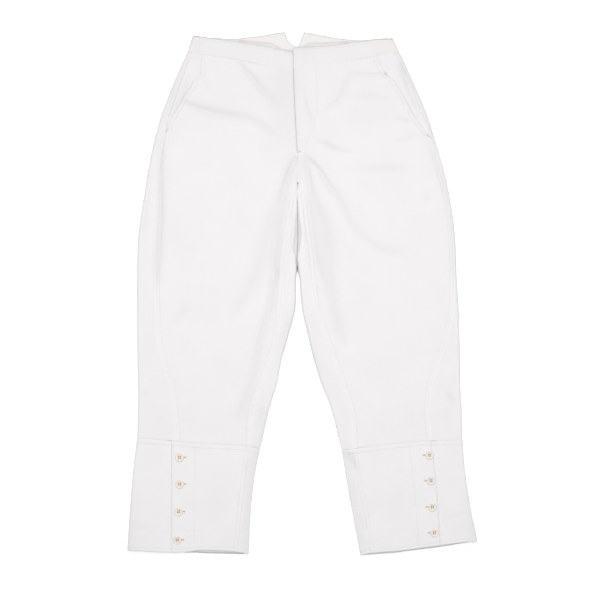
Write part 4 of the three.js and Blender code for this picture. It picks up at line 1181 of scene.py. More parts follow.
def band_front_detail(side, grid, x, seed):
    """The front band's free end, its seam at the side, and the line of the fly on the left one."""
    detail = edge_dip(grid.from_start, 0.7) + plain_seam(grid.from_end, grid.row, seed)
    if side == "left":
        detail += BAND_RIDGE["height"] * dome(x - BAND_RIDGE["x"], BAND_RIDGE["reach"])
        detail -= BAND_TROUGH["depth"] * dome(x - BAND_TROUGH["x"], BAND_TROUGH["reach"])
    inside = ease((BAND_NOMINAL - grid.row) / BAND_WAVE["margin"]) * ease(grid.row / BAND_WAVE["margin"])
    return detail + BAND_WAVE["height"] * ripple(x * BAND_WAVE["pace"], seed + 1) * inside


# How much painted shade under the band's top edge and at its free end, and how far it reaches.
BAND_TOP_SHADE = {"wide": (0.45, 9.0), "narrow": (1.2, 1.8), "everywhere": (0.25, 7.0), "end": (0.7, 3.2)}


def reaching(tone, distance):
    """A tone, given as how much and how far, at a distance from its line."""
    return tone[0] * dome(distance, tone[1])


def painted_band_front_shade(grid, x):
    """Painted shade under the top edge, most beside the fly, and at the free end."""
    top_edge = BAND_NOMINAL - grid.row
    from_middle = np.abs(x - BAND_TOP_LINE["middle_x"])
    near = away(BAND_TOP_LINE["half_width"] - from_middle, 0, BAND_TOP_LINE["over"])
    by_fly = reaching(BAND_TOP_SHADE["wide"], top_edge) + reaching(BAND_TOP_SHADE["narrow"], top_edge)
    free_end = reaching(BAND_TOP_SHADE["end"], grid.from_start)
    return by_fly * near + reaching(BAND_TOP_SHADE["everywhere"], top_edge) + free_end


def make_bands(side):
    form = band_form(side)
    front, back = Grid(form), Grid(form)
    notch = [x * form.out for x, _ in BACK_WAIST_TOP[side] if abs(x - NOTCH_X) < NOTCH_REACH]
    notch = sorted(notch, reverse=True)
    for row_y in BAND_ROWS:
        start = form.q_of("inseam", row_y)
        side_q = form.q_of("side", row_y)
        top = Section(form, row_y,
                      lambda q, row_y=row_y: form.level(q, row_y) + fly_lift(form, q, TOP_Y), start)
        base = Section(form, row_y, lambda q, row_y=row_y: form.level(q, row_y), start)
        first, last = SEAM_GAP / 2, top.reach(side_q) - SEAM_GAP / 2
        fine = EDGE_STEPS[-1]
        front.add(top, np.concatenate([
            first + EDGE_STEPS, spread(first + fine, last - fine, BAND_PLACES["front"]),
            last - EDGE_STEPS[::-1]]))
        first = base.reach(side_q) + SEAM_GAP / 2
        inner = form.q_of("inner", row_y)
        cut = [base.bottom_to - (q - inner) for q in notch[:-1]]
        last = base.total - SEAM_GAP / 2
        walk = [first + squeezed(EDGE_STEPS, (base.outer_top - first) * 0.8),
                spread(base.outer_top - (base.outer_top - first) * 0.2, base.outer_top, BAND_PLACES["side"]),
                [base.outer_top], spread(base.outer_top, base.bottom_from, BAND_PLACES["outer_turn"]),
                [base.bottom_from], spread(base.bottom_from, cut[0], BAND_PLACES["under"])]
        stops = cut + [last]
        for a, b in zip(stops[:-1], stops[1:]):
            walk += [[a], spread(a, b, BAND_PLACES["notch"])]
        walk.append([last])
        back.add(base, np.concatenate(walk))
    seed = SEEDS["band"][side]
    for name, grid, wall in (("band_front", front, BAND_CLOTH), ("band_back", back, CLOTH)):
        grid.close()
        points = grid.points.copy()
        x = points[..., 0]
        points[..., 2] += 0.5 * settle_of(x * 1.4, points[..., 1]) * fall_off(grid)
        normal = -outward(points, form.out)
        below = points[..., 2] < FRONT_LEVEL / 2
        # The upper layers of both bands take a little painted shade; painted shadow lines go inside the back
        # band and under the front band's top edge.
        shade = np.where(below, 0.0, BAND_SHADE)
        detail = edge_dip(BAND_NOMINAL - grid.row, 0.8) + plain_seam(grid.row, x, seed, waist_depth(x))
        if name == "band_front":
            detail += band_front_detail(side, grid, x, seed)
            shade = shade + painted_band_front_shade(grid, x)
        else:
            detail += plain_seam(grid.from_start, grid.row, seed) + edge_dip(grid.from_end, 0.5)
            shadow, facing = painted_facing_shadow(side, grid)
            shade = shade + shadow * below
            detail -= FACING_CLOTH * facing * below
        surface = points + normal * (CLOTH / 2 + detail)[..., None]
        surface[..., 2] = np.maximum(surface[..., 2], 0.0)
        keep(f"{name}_{side}", grid, surface, normal)
        label = "waistband_front_cloth" if name == "band_front" else "waistband_back_cloth"
        made[f"{name}_{side}"] = cloth_piece(
            f"{label}_{side}", surface, grid.flat_place, normal, wall, shade)


# ---------------------------------------------------------------- cuffs
CUFF_TOPSTITCH = 8.0
HEM_STITCHES = (6.0, 37.0)
CUFF_ROWS = -stations(0, CUFF_HEIGHT, 3.2,
                      (CUFF_TOPSTITCH, CUFF_HEIGHT - HEM_STITCHES[0], CUFF_HEIGHT - HEM_STITCHES[1]))
PLACKET_WIDTH = {"right": 43.5, "left": 41.0}


PLACKET_SIDE = MARK_STEPS[-1]               # how far the finely divided strip at the band's stitches runs
CUFF_PLACES = {"front": 24, "band": 12, "lap": 8, "rise": 7, "side": 14,
               "outer_turn": 13, "under": 50, "inner_turn": 12}
CUFF_END_PARTS = np.array([0.2, 0.4, 0.56, 0.7, 0.8, 0.88, 0.94, 0.975, 0.992, 1])
UNDERLAP_REST = 2.0                         # the underlap starts to rise this far past the band's edge
HEM_FOLD = {"lift": 0.3, "fall": 1.5}
HEM_WAVE = {"height": 0.16, "up": 22.0, "reach": 12.0, "pace": 0.55}
CUFF_LAP = {"lift": 0.3, "fall": 1.6, "rise": 1.5, "stitch_dip": 0.08}
CUFF_PUCKER = {"height": 0.18, "from_seam": 4.0, "reach": 5.0}
# The cuff's seam is deeper toward the inside of the leg, nearer the middle than this x.
CUFF_SEAM_DIP = {"least": 0.16, "more": 0.3, "from_x": 150.0, "over": 50.0}
LAP_CALM = {"to": -20.0, "from": 6.0, "over": 14.0}
BAND_CALM = {"share": 0.7, "from": -30.0, "over": 20.0}
PLACKET_FOLD = {"lift": 0.35, "fall": 1.6}
PLACKET_WAVE = {"height": 0.12, "pace": 0.8, "from_edge": 3.0, "reach": 6.0}
CUFF_SETTLE = 0.8
CUFF_UNDER = 0.7                            # the share of the seams' relief left on the underside
# Painted shade on the cuffs: at the rolled edges, under the seam, in the folds, and inside the back layer at
# the hem's opening.
CUFF_INNER_SHADE = {"right": 0.9, "left": 0.6}
CUFF_OUTER_SHADE = {"tone": 0.55, "from_row": 70.0, "over": 110.0}
CUFF_EDGE = {"clear": 2.0, "reach": 11.0}
CUFF_CREASE_SHADE = 1.1
CUFF_SEAM_SHADE = {"tone": 0.3, "reach": 3.0}
HEM_OPENING_SHADE = {"right": 4.0, "left": 1.8}
HEM_SHADOW = {"up": 4.5, "over": 2.5}


def cuff_detail(grid, seed):
    """What runs round a whole cuff: its seam, the line below it, the turned hem and its edge."""
    down = -grid.row
    to_hem = CUFF_HEIGHT + grid.row
    around = grid.lengths
    detail = lapped_row(down, around, grid.points[..., 0], seed)
    detail += edge_dip(to_hem, 0.8)
    detail += HEM_FOLD["lift"] * ease(1 - (to_hem - HEM_STITCHES[1]) / HEM_FOLD["fall"])
    detail += stitch_dip(to_hem - HEM_STITCHES[0], 0.22) + stitch_dip(to_hem - HEM_STITCHES[1], 0.25)
    wave = dome(to_hem - HEM_WAVE["up"], HEM_WAVE["reach"]) * ripple(around * HEM_WAVE["pace"], seed + 2)
    return detail + HEM_WAVE["height"] * wave


def placket_detail(grid, placket, seed):
    """The cuff front's inseam, and its buttonhole band with a stitched fold at its edge."""
    edge, row = grid.from_end, grid.row
    detail = lapped(grid.from_start, row, seed + 1)
    detail += edge_dip(edge, 0.8) + stitch_dip(edge - placket, 0.12)
    detail += PLACKET_FOLD["lift"] * ease(1 - (edge - placket) / PLACKET_FOLD["fall"])
    near = dome(edge - PLACKET_WAVE["from_edge"], PLACKET_WAVE["reach"])
    return detail + PLACKET_WAVE["height"] * ripple(row * PLACKET_WAVE["pace"], seed) * near


def cuff_fade(name, grid):
    """Folds fade at a cuff's edges, and calm down where the two parts lie on each other."""
    from_edge = grid.q - grid.edge("side")
    if name == "cuff_back":
        calm = np.where(from_edge < LAP_CALM["to"], 1.0, away(from_edge, LAP_CALM["from"], LAP_CALM["over"]))
        return fall_off(grid) * calm
    return fall_off(grid) * (1 - BAND_CALM["share"] * away(from_edge, BAND_CALM["from"], BAND_CALM["over"]))


def painted_cuff_shade(side, grid, deep, upper):
    """Painted shade in the folds, toward the rolled edges, under the seam, and inside the back layer at the
    turned hem's opening.
    """
    clear, reach = CUFF_EDGE["clear"], CUFF_EDGE["reach"]
    inner = dome(np.maximum(grid.q - grid.edge("inner") - clear, 0), reach)
    outer = dome(np.maximum(grid.edge("outer") - clear - grid.q, 0), reach)
    low = away(-grid.row, CUFF_OUTER_SHADE["from_row"], CUFF_OUTER_SHADE["over"])
    edges = CUFF_INNER_SHADE[side] * inner + CUFF_OUTER_SHADE["tone"] * outer * low
    edges = edges + CUFF_SEAM_SHADE["tone"] * dome(-grid.row, CUFF_SEAM_SHADE["reach"])
    drawn = np.maximum(crease_height(CUFF_SHADE_LINES, grid.points[..., 0], grid.points[..., 1]), 0)
    hem = ease((HEM_SHADOW["up"] - CUFF_HEIGHT - grid.row) / HEM_SHADOW["over"])
    tone = CUFF_CREASE_SHADE * (1 - np.exp(-deep)) + (edges + drawn) * upper
    return tone + HEM_OPENING_SHADE[side] * hem * ~upper


def lapped_row(down, around, x, seed):
    """The cuff's own seam, deepest toward the inside of the leg."""
    allowance = CUFF_LAP["lift"] * ease(1 - (down - CUFF_TOPSTITCH) / CUFF_LAP["fall"])
    allowance = allowance * ease(down / CUFF_LAP["rise"])
    near = dome(down - CUFF_PUCKER["from_seam"], CUFF_PUCKER["reach"])
    pucker = CUFF_PUCKER["height"] * near * ripple(around, seed)
    inside = away(CUFF_SEAM_DIP["from_x"] - np.abs(x), 0, CUFF_SEAM_DIP["over"])
    depth = CUFF_SEAM_DIP["least"] + CUFF_SEAM_DIP["more"] * inside
    sewn = stitch_dip(down - CUFF_TOPSTITCH, CUFF_LAP["stitch_dip"])
    return edge_dip(down, depth, SEAM_REACH, depth) + allowance + pucker + sewn


def make_cuff(side):
    form = cuff_form(side)
    front, back = Grid(form), Grid(form)
    placket = PLACKET_WIDTH[side]
    for row_y in CUFF_ROWS:
        start = form.inseam(row_y)
        edge_q = form.q_of("side", row_y)
        top = Section(form, row_y, lambda q, row_y=row_y: form.level(q, row_y), start)

        def dropped(q, row_y=row_y, edge_q=edge_q):
            risen = (q - edge_q - UNDERLAP_REST) / UNDERLAP_RISE
            return form.level(q, row_y) - UNDERLAP_DROP * ease(1 - risen)

        first, last = SEAM_GAP / 2, top.reach(edge_q)
        band = last - placket
        front.add(top, np.concatenate([
            first + SIDE_STEPS,
            spread(first + SIDE_STEPS[-1], band - PLACKET_SIDE, CUFF_PLACES["front"]),
            band + MARK_STEPS, spread(band + PLACKET_SIDE, last - EDGE_STEPS[-1], CUFF_PLACES["band"]),
            last - EDGE_STEPS[::-1]]))
        under = Section(form, row_y, dropped, edge_q - UNDERLAP)
        rise_from = under.reach(edge_q + UNDERLAP_REST)
        rise_to = under.reach(edge_q + UNDERLAP_RISE + UNDERLAP_REST)
        last = under.total - SEAM_GAP / 2
        back.add(under, np.concatenate([
            [0], spread(0, rise_from, CUFF_PLACES["lap"]),
            [rise_from], spread(rise_from, rise_to, CUFF_PLACES["rise"]),
            [rise_to], spread(rise_to, under.outer_top, CUFF_PLACES["side"]),
            [under.outer_top], spread(under.outer_top, under.bottom_from, CUFF_PLACES["outer_turn"]),
            [under.bottom_from], spread(under.bottom_from, under.bottom_to, CUFF_PLACES["under"]),
            [under.bottom_to], spread(under.bottom_to, under.inner_top, CUFF_PLACES["inner_turn"]),
            [under.inner_top], under.inner_top + (last - under.inner_top) * CUFF_END_PARTS]))
    seed = SEEDS["cuff"][side]
    for name, grid in (("cuff_front", front), ("cuff_back", back)):
        grid.close()
        x, y = grid.points[..., 0], grid.points[..., 1]
        points = grid.points.copy()
        folds = crease_height(CUFF_CREASES, x, y) + CUFF_SETTLE * settle_of(x * 0.8, y * 1.3)
        fade = cuff_fade(name, grid)
        points[..., 2] += soft_floor(folds, -DEEPEST) * fade
        normal = outward(points, form.out)
        upper = points[..., 2] > UNDERSIDE
        detail = cuff_detail(grid, seed)
        if name == "cuff_front":
            detail += placket_detail(grid, placket, seed)
        else:
            detail += plain_seam(grid.from_end, grid.row, seed + 3)
        detail = np.where(upper, detail, detail * CUFF_UNDER)
        surface = points + normal * (CLOTH / 2 + detail)[..., None]
        surface[..., 2] = np.maximum(surface[..., 2], 0.0)
        keep(f"{name}_{side}", grid, surface, normal)
        deep = clamp(-folds * fade / DEEPEST, 0.0, DEEP_MOST)
        made[f"{name}_{side}"] = cloth_piece(
            f"{name}_cloth_{side}", surface, grid.flat_place, normal, CLOTH,
            painted_cuff_shade(side, grid, deep, upper))


# ---------------------------------------------------------------- fly shield
SHIELD_TOP_Y = 444.0
SHIELD_PLACES = {"down": 60, "across": 18}


def make_shield():
    rows = np.linspace(FLY_END_Y - 4, SHIELD_TOP_Y, SHIELD_PLACES["down"])
    steps = np.linspace(-SHIELD_BEHIND, SHIELD_UNDER, SHIELD_PLACES["across"])
    level = BACK_LEVEL + CLOTH / 2 + LAYER_GAP + SHIELD_CLOTH
    points = np.array([[(value_at(LEG["right"], "inseam", y) + d, y, level) for d in steps] for y in rows])
    normal = np.zeros(points.shape)
    normal[..., 2] = 1.0
    flat = np.stack(np.broadcast_arrays(steps[None, :], rows[:, None]), axis=-1)
    made["shield"] = cloth_piece("fly_shield_cloth", points, flat, normal, SHIELD_CLOTH)


for side in ("right", "left"):
    make_front_panel(side)
    make_back_panel(side)
    make_pocket_facing(side)
    make_bands(side)
    make_cuff(side)
make_shield()

# ---------------------------------------------------------------- stitching
STITCH_PITCH = 3.1
STITCH_LENGTH = 2.2
STITCH_RADIUS = 0.27


def resample(line, pitch):
    line = np.asarray(line)
    size = np.concatenate([[0], np.cumsum(np.linalg.norm(np.diff(line, axis=0), axis=1))])
    count = max(int(size[-1] / pitch), 1)
    wanted = (np.arange(count) + 0.5) * size[-1] / count
    return np.stack([np.interp(wanted, size, line[:, k]) for k in range(3)], axis=-1)


def sew(bm, line, pitch=STITCH_PITCH, length=STITCH_LENGTH, radius=STITCH_RADIUS):
    """A row of stitches lying along a line on the cloth."""
    middles = resample(line, pitch)
    path = [line[0], *middles, line[-1]]
    for behind, middle, ahead in zip(path, middles, path[2:]):
        way = Vector(ahead - behind)
        turn = way.to_track_quat("Z", "Y").to_matrix().to_4x4()
        spot = Matrix.Translation(Vector((middle + OFFSET) * MM))
        bmesh.ops.create_cone(bm, cap_ends=True, cap_tris=False, segments=5, radius1=radius * MM,
                              radius2=radius * MM, depth=length * MM, matrix=spot @ turn)


def line_down(name, distance, low, high, from_end=False):
    """A line down a piece, at one distance from its first or last edge, between two heights."""
    face = outer_faces[name]
    grid = face["grid"]
    chosen = [j for j, row in enumerate(grid.rows) if low <= row <= high]
    lengths = grid.lengths
    wanted = lengths[:, -1] - distance if from_end else lengths[:, 0] + distance
    points = face["points"] + face["normal"] * 0.1
    return place_at(points[chosen], lengths[chosen], wanted[chosen])


def line_across(name, row_y, first=0, last=None):
    """A line across a piece along one of its rows."""
    face = outer_faces[name]
    rows = np.array(face["grid"].rows)
    j = int(np.argmin(np.abs(rows - row_y)))
    points = face["points"] + face["normal"] * 0.1
    return points[j, first:last]


def drop(name, line, lift=0.1):
    """Lays a line in the plane down on a piece."""
    piece = made[name]
    tree = BVHTree.FromPolygons([v.co[:] for v in piece.data.vertices],
                                [p.vertices[:] for p in piece.data.polygons])
    found = []
    for x, y in line:
        place = Vector(((x + OFFSET[0]) * MM, (y + OFFSET[1]) * MM, 0.05))
        hit = tree.ray_cast(place, Vector((0, 0, -1)))[0]
        if hit is not None:
            found.append((x, y, hit.z / MM + lift))
    return np.array(found)


def thread_piece(name, bm):
    piece = make_mesh_piece(name, bm)
    piece.data.polygons.foreach_set("use_smooth", [True] * len(piece.data.polygons))
    threads.append(piece)
    return piece


SEAM_END = 4.0                              # rows stop this far from a cuff's seams and edges
PLACKET_EDGE_STITCH = 2.6
LAP_STITCH_FROM = 12                        # the first column of a cuff back that carries stitches
FLY_STITCH_TOP = 421.0
FLY_STITCH_END_X = -4.0
BAND_STITCH_IN = 3.0


def sew_front_panel(side):
    name, pocket = f"front_{side}", POCKET[side]
    bm = bmesh.new()
    sew(bm, line_down(name, STITCH_IN, FOOT_Y + 2, CROTCH_Y - 12))
    sew(bm, line_down(name, STITCH_IN, FOOT_Y + 2, pocket["foot"] - 4, from_end=True))
    for distance in POCKET_STITCHES:
        sew(bm, line_down(name, distance, pocket["foot"] + 2, TOP_Y - 2, from_end=True))
    if side == "left":
        sew(bm, drop(name, [p for p in FLY_STITCH if p[1] < FLY_STITCH_TOP and p[0] > FLY_STITCH_END_X]))
    stitches[name] = thread_piece(f"front_panel_stitching_{side}", bm)


def sew_cuff_front(side):
    name = f"cuff_front_{side}"
    low, high = SEAM_END - CUFF_HEIGHT, -SEAM_END
    bm = bmesh.new()
    sew(bm, line_across(name, -CUFF_TOPSTITCH, 4, -4))
    for up in HEM_STITCHES:
        sew(bm, line_across(name, up - CUFF_HEIGHT, 4, -4))
    sew(bm, line_down(name, STITCH_IN, low, high))
    sew(bm, line_down(name, PLACKET_WIDTH[side], low, high, from_end=True))
    sew(bm, line_down(name, PLACKET_EDGE_STITCH, low, high, from_end=True))
    stitches[name] = thread_piece(f"cuff_front_stitching_{side}", bm)


def sew_cuff_back(side):
    name = f"cuff_back_{side}"
    bm = bmesh.new()
    sew(bm, line_across(name, -CUFF_TOPSTITCH, LAP_STITCH_FROM, -3))
    for up in HEM_STITCHES:
        sew(bm, line_across(name, up - CUFF_HEIGHT, LAP_STITCH_FROM, -3))
    stitches[name] = thread_piece(f"cuff_back_stitching_{side}", bm)


def sew_band(side):
    name = f"band_front_{side}"
    bm = bmesh.new()
    sew(bm, line_across(name, BAND_NOMINAL - BAND_STITCH_IN, 3, -3))
    stitches[name] = thread_piece(f"waistband_stitching_{side}", bm)


stitches = {}
for side in ("right", "left"):
    sew_front_panel(side)
    sew_cuff_front(side)
    sew_cuff_back(side)
    sew_band(side)

TACK_PITCH = 0.7
TACK_RADIUS = 0.32
TACK_LENGTH = 6.5
# Each bar tack: the piece it is sewn on, its middle and the way it runs.
TACKS = (
    ("front_left", (-6.0, 263.5), (1, 0.35)),
    ("front_right", (-250.0, 303.0), (1, 2.2)),
    ("front_left", (232.0, 293.5), (-1, 1.6)),
    ("front_right", (-190.5, 408.0), (1, 0.2)),
    ("front_left", (154.0, 408.0), (1, -0.2)),
)


def tack(bm, centre, way, length=TACK_LENGTH, width=2.4):
    """A bar tack: a short ladder of stitches packed side by side."""
    way = np.asarray(way, dtype=float) / np.linalg.norm(way)
    across = np.array([-way[1], way[0], 0.0])
    way = np.array([way[0], way[1], 0.0])
    for k in range(int(length / TACK_PITCH)):
        middle = np.asarray(centre) + way * (k * TACK_PITCH - length / 2)
        sew(bm, [middle - across * width / 2, middle + across * width / 2], pitch=width, length=width,
            radius=TACK_RADIUS)


def sew_bar_tacks():
    bm = bmesh.new()
    for name, (x, y), way in TACKS:
        spot = drop(name, [(x, y)], 0.25)
        if len(spot):
            tack(bm, spot[0], way)
    thread_piece("bar_tacks", bm)


sew_bar_tacks()

# ---------------------------------------------------------------- buttons and buttonholes
HOLE_LENGTH = 20.0
HOLE_GAP = 0.3
HOLE_SHIFT = 3.2
BUTTON_TOP = 1.8
BUTTON_REST = 0.3
HOLE_STITCHES = 46
HOLE_ROUND = 0.55                           # below 1 the ring of stitches is squarer than an ellipse
HOLE_END = 0.96                             # past this share of its length the stitches turn lengthways
HOLE_HALF_WIDTH = 1.4
HOLE_STITCH = {"half": 0.75, "radius": 0.28}
SLIT_SHORTER = 1.2
THREAD_LEAN = 1.85
PLUG_AND_HOLE_SHADE = {"height": 0.9, "foot": 0.8, "top": 0.6}
# A bar of thread between two holes: places along it and how high it lies there.
THREAD_BAR = ((-1.7, 0.6), (-1.1, 1.0), (1.1, 1.0), (1.7, 0.6))
THREAD_BAR_RADIUS = 0.2
ALONG_X = np.array([1, 0, 0])
ALONG_Y = np.array([0, 1, 0])


def work_buttonhole(bm, piece, middle, y):
    """A ring of short stitches, across the long sides and lengthways round the two ends."""
    half, radius = HOLE_STITCH["half"], HOLE_STITCH["radius"]
    for k in range(HOLE_STITCHES):
        angle = 2 * math.pi * k / HOLE_STITCHES
        turn, rise = math.cos(angle), math.sin(angle)
        share = math.copysign(abs(turn) ** HOLE_ROUND, turn)
        place = (middle + share * (HOLE_LENGTH / 2 - 0.6), y + rise * HOLE_HALF_WIDTH)
        spot = drop(piece, [place], 0.12)
        if not len(spot):
            continue
        way = np.array([turn, 0.4 * rise, 0] if abs(share) > HOLE_END else [0.0, rise, 0])
        way = way / max(np.linalg.norm(way), 1e-6)
        sew(bm, [spot[0] - way * half, spot[0] + way * half], pitch=2.0, length=2 * half, radius=radius)


def paint_slit_shade(slit, piece, middle, y):
    """A dark sheet, the painted shade in the slit between a buttonhole's stitches."""
    level = drop(piece, [(middle, y)], 0.1)[0][2]
    spot = Matrix.Translation(Vector(((middle + OFFSET[0]) * MM, (y + OFFSET[1]) * MM, level * MM)))
    size = Matrix.Diagonal(((HOLE_LENGTH / 2 - SLIT_SHORTER) * MM, HOLE_GAP * MM, 1, 1))
    bmesh.ops.create_grid(slit, x_segments=12, y_segments=2, size=1.0, matrix=spot @ size)


def sew_button_on(sewing, x, y):
    """A plug of dark thread in each of the four holes, partly thread and partly painted shade down in the
    hole, and a square of bars from hole to hole.
    """
    seat = np.array([x, y, FRONT_LEVEL + CLOTH / 2 + BUTTON_REST + BUTTON_TOP])
    for lean in (-THREAD_LEAN, THREAD_LEAN):
        for far in (-THREAD_LEAN, THREAD_LEAN):
            plug = seat + OFFSET + np.array([lean, far, PLUG_AND_HOLE_SHADE["height"] / 2])
            bmesh.ops.create_cone(
                sewing, cap_ends=True, cap_tris=False, segments=8, radius1=PLUG_AND_HOLE_SHADE["foot"] * MM,
                radius2=PLUG_AND_HOLE_SHADE["top"] * MM, depth=PLUG_AND_HOLE_SHADE["height"] * MM,
                matrix=Matrix.Translation(Vector(plug * MM)))
        for way, aside in ((ALONG_Y, ALONG_X), (ALONG_X, ALONG_Y)):
            bar = [seat + aside * lean + way * place + np.array([0, 0, lift]) for place, lift in THREAD_BAR]
            sew(sewing, bar, pitch=0.6, length=0.7, radius=THREAD_BAR_RADIUS)


slits = {}
for side in ("right", "left"):
    bm = bmesh.new()
    slit = bmesh.new()
    sewing = bmesh.new()
    for x, y in BUTTONS[side]:
        middle = x - OUT[side] * HOLE_SHIFT
        work_buttonhole(bm, f"cuff_front_{side}", middle, y)
        paint_slit_shade(slit, f"cuff_front_{side}", middle, y)
        sew_button_on(sewing, x, y)
    thread_piece(f"buttonholes_{side}", bm)
    slits[side] = make_mesh_piece(f"buttonhole_slits_{side}", slit)
    stitches[f"buttons_{side}"] = make_mesh_piece(f"button_thread_{side}", sewing)


# ---------------------------------------------------------------- finishes
def node_tree(name):
    material = bpy.data.materials.new(name)
    material.use_nodes = True
    tree = material.node_tree
    return material, tree, tree.nodes["Principled BSDF"]


def math_node(tree, operation, a, b=None):
    node = tree.nodes.new("ShaderNodeMath")
    node.operation = operation
    for socket, value in zip(node.inputs, (a, b)):
        if value is None:
            continue
        if isinstance(value, (int, float)):
            socket.default_value = value
        else:
            tree.links.new(value, socket)
    return node.outputs[0]


def make_weave_group():
    """Twill: steep ribs crossed by their yarns, with slubs and a soft nap."""
    group = bpy.data.node_groups.new("twill weave", "ShaderNodeTree")
    face = group.interface
    face.new_socket("Place", in_out="INPUT", socket_type="NodeSocketVector")
    face.new_socket("Ribs per metre", in_out="INPUT", socket_type="NodeSocketFloat")
    face.new_socket("Height", in_out="OUTPUT", socket_type="NodeSocketFloat")
    face.new_socket("Tone", in_out="OUTPUT", socket_type="NodeSocketFloat")
    start = group.nodes.new("NodeGroupInput")
    end = group.nodes.new("NodeGroupOutput")
    parts = group.nodes.new("ShaderNodeSeparateXYZ")
    group.links.new(start.outputs["Place"], parts.inputs[0])
    ribs = math_node(group, "MULTIPLY", start.outputs["Ribs per metre"], 2 * math.pi)
    lean = math_node(group, "ADD", parts.outputs[0], math_node(group, "MULTIPLY", parts.outputs[1], 0.55))
    rib = math_node(group, "SINE", math_node(group, "MULTIPLY", lean, ribs))
    cross = math_node(group, "MULTIPLY", parts.outputs[1], ribs)
    yarn = math_node(group, "SINE", math_node(group, "MULTIPLY", cross, 1.7))
    nap = group.nodes.new("ShaderNodeTexNoise")
    nap.inputs["Scale"].default_value = 900.0
    nap.inputs["Detail"].default_value = 3.0
    group.links.new(start.outputs["Place"], nap.inputs["Vector"])
    slub = group.nodes.new("ShaderNodeTexNoise")
    slub.inputs["Scale"].default_value = 26.0
    slub.inputs["Detail"].default_value = 4.0
    group.links.new(start.outputs["Place"], slub.inputs["Vector"])
    height = math_node(group, "ADD", math_node(group, "MULTIPLY", rib, 0.5),
                       math_node(group, "MULTIPLY", yarn, 0.18))
    height = math_node(group, "ADD", height, math_node(group, "MULTIPLY", nap.outputs[0], 0.9))
    tone = math_node(group, "ADD", math_node(group, "MULTIPLY", rib, 0.12),
                     math_node(group, "MULTIPLY", slub.outputs[0], 1.0))
    group.links.new(height, end.inputs["Height"])
    group.links.new(tone, end.inputs["Tone"])
    return group


WEAVE = make_weave_group()


def mix_colour(tree, factor, dark, light):
    node = tree.nodes.new("ShaderNodeMix")
    node.data_type = "RGBA"
    node.clamp_factor = False
    tree.links.new(factor, node.inputs["Factor"])
    for socket, value in ((node.inputs[6], dark), (node.inputs[7], light)):
        if isinstance(value, tuple):
            socket.default_value = (*value, 1.0)
        else:
            tree.links.new(value, socket)
    return node.outputs[2]


def twill(name, light, dark, folded, ribs=760.0, bump=0.35):
    """Brushed twill: light and dark are its mottle; folded is its colour in full painted shade, laid on by
    the cloth's shade attribute in creases, gaps and at edges, and painted lighter where that attribute is
    below zero.
    """
    material, tree, shader = node_tree(name)
    place = tree.nodes.new("ShaderNodeUVMap")
    place.uv_map = "Cloth"
    weave = tree.nodes.new("ShaderNodeGroup")
    weave.node_tree = WEAVE
    weave.inputs["Ribs per metre"].default_value = ribs
    tree.links.new(place.outputs[0], weave.inputs["Place"])
    mottle = mix_colour(tree, weave.outputs["Tone"], dark, light)
    # The painted shade of each piece, which mixes the mottle toward the folded colour.
    fold = tree.nodes.new("ShaderNodeAttribute")
    fold.attribute_name = "PaintedShade"
    colour = mix_colour(tree, fold.outputs["Fac"], mottle, folded)
    tree.links.new(colour, shader.inputs["Base Color"])
    raised = tree.nodes.new("ShaderNodeBump")
    raised.inputs["Strength"].default_value = bump
    raised.inputs["Distance"].default_value = 0.00025
    tree.links.new(weave.outputs["Height"], raised.inputs["Height"])
    tree.links.new(raised.outputs[0], shader.inputs["Normal"])
    shader.inputs["Roughness"].default_value = 0.92
    shader.inputs["Specular IOR Level"].default_value = 0.25
    shader.inputs["Sheen Weight"].default_value = 0.12
    shader.inputs["Sheen Roughness"].default_value = 0.55
    return material


def thread_finish(name, light, dark, rough):
    material, tree, shader = node_tree(name)
    place = tree.nodes.new("ShaderNodeTexCoord")
    strand = tree.nodes.new("ShaderNodeTexNoise")
    strand.inputs["Scale"].default_value = 1800.0
    tree.links.new(place.outputs["Object"], strand.inputs["Vector"])
    tree.links.new(mix_colour(tree, strand.outputs[0], dark, light), shader.inputs["Base Color"])
    raised = tree.nodes.new("ShaderNodeBump")
    raised.inputs["Strength"].default_value = 0.3
    raised.inputs["Distance"].default_value = 0.0001
    tree.links.new(strand.outputs[0], raised.inputs["Height"])
    tree.links.new(raised.outputs[0], shader.inputs["Normal"])
    shader.inputs["Roughness"].default_value = rough
    return material


RIM_FALL = 0.8


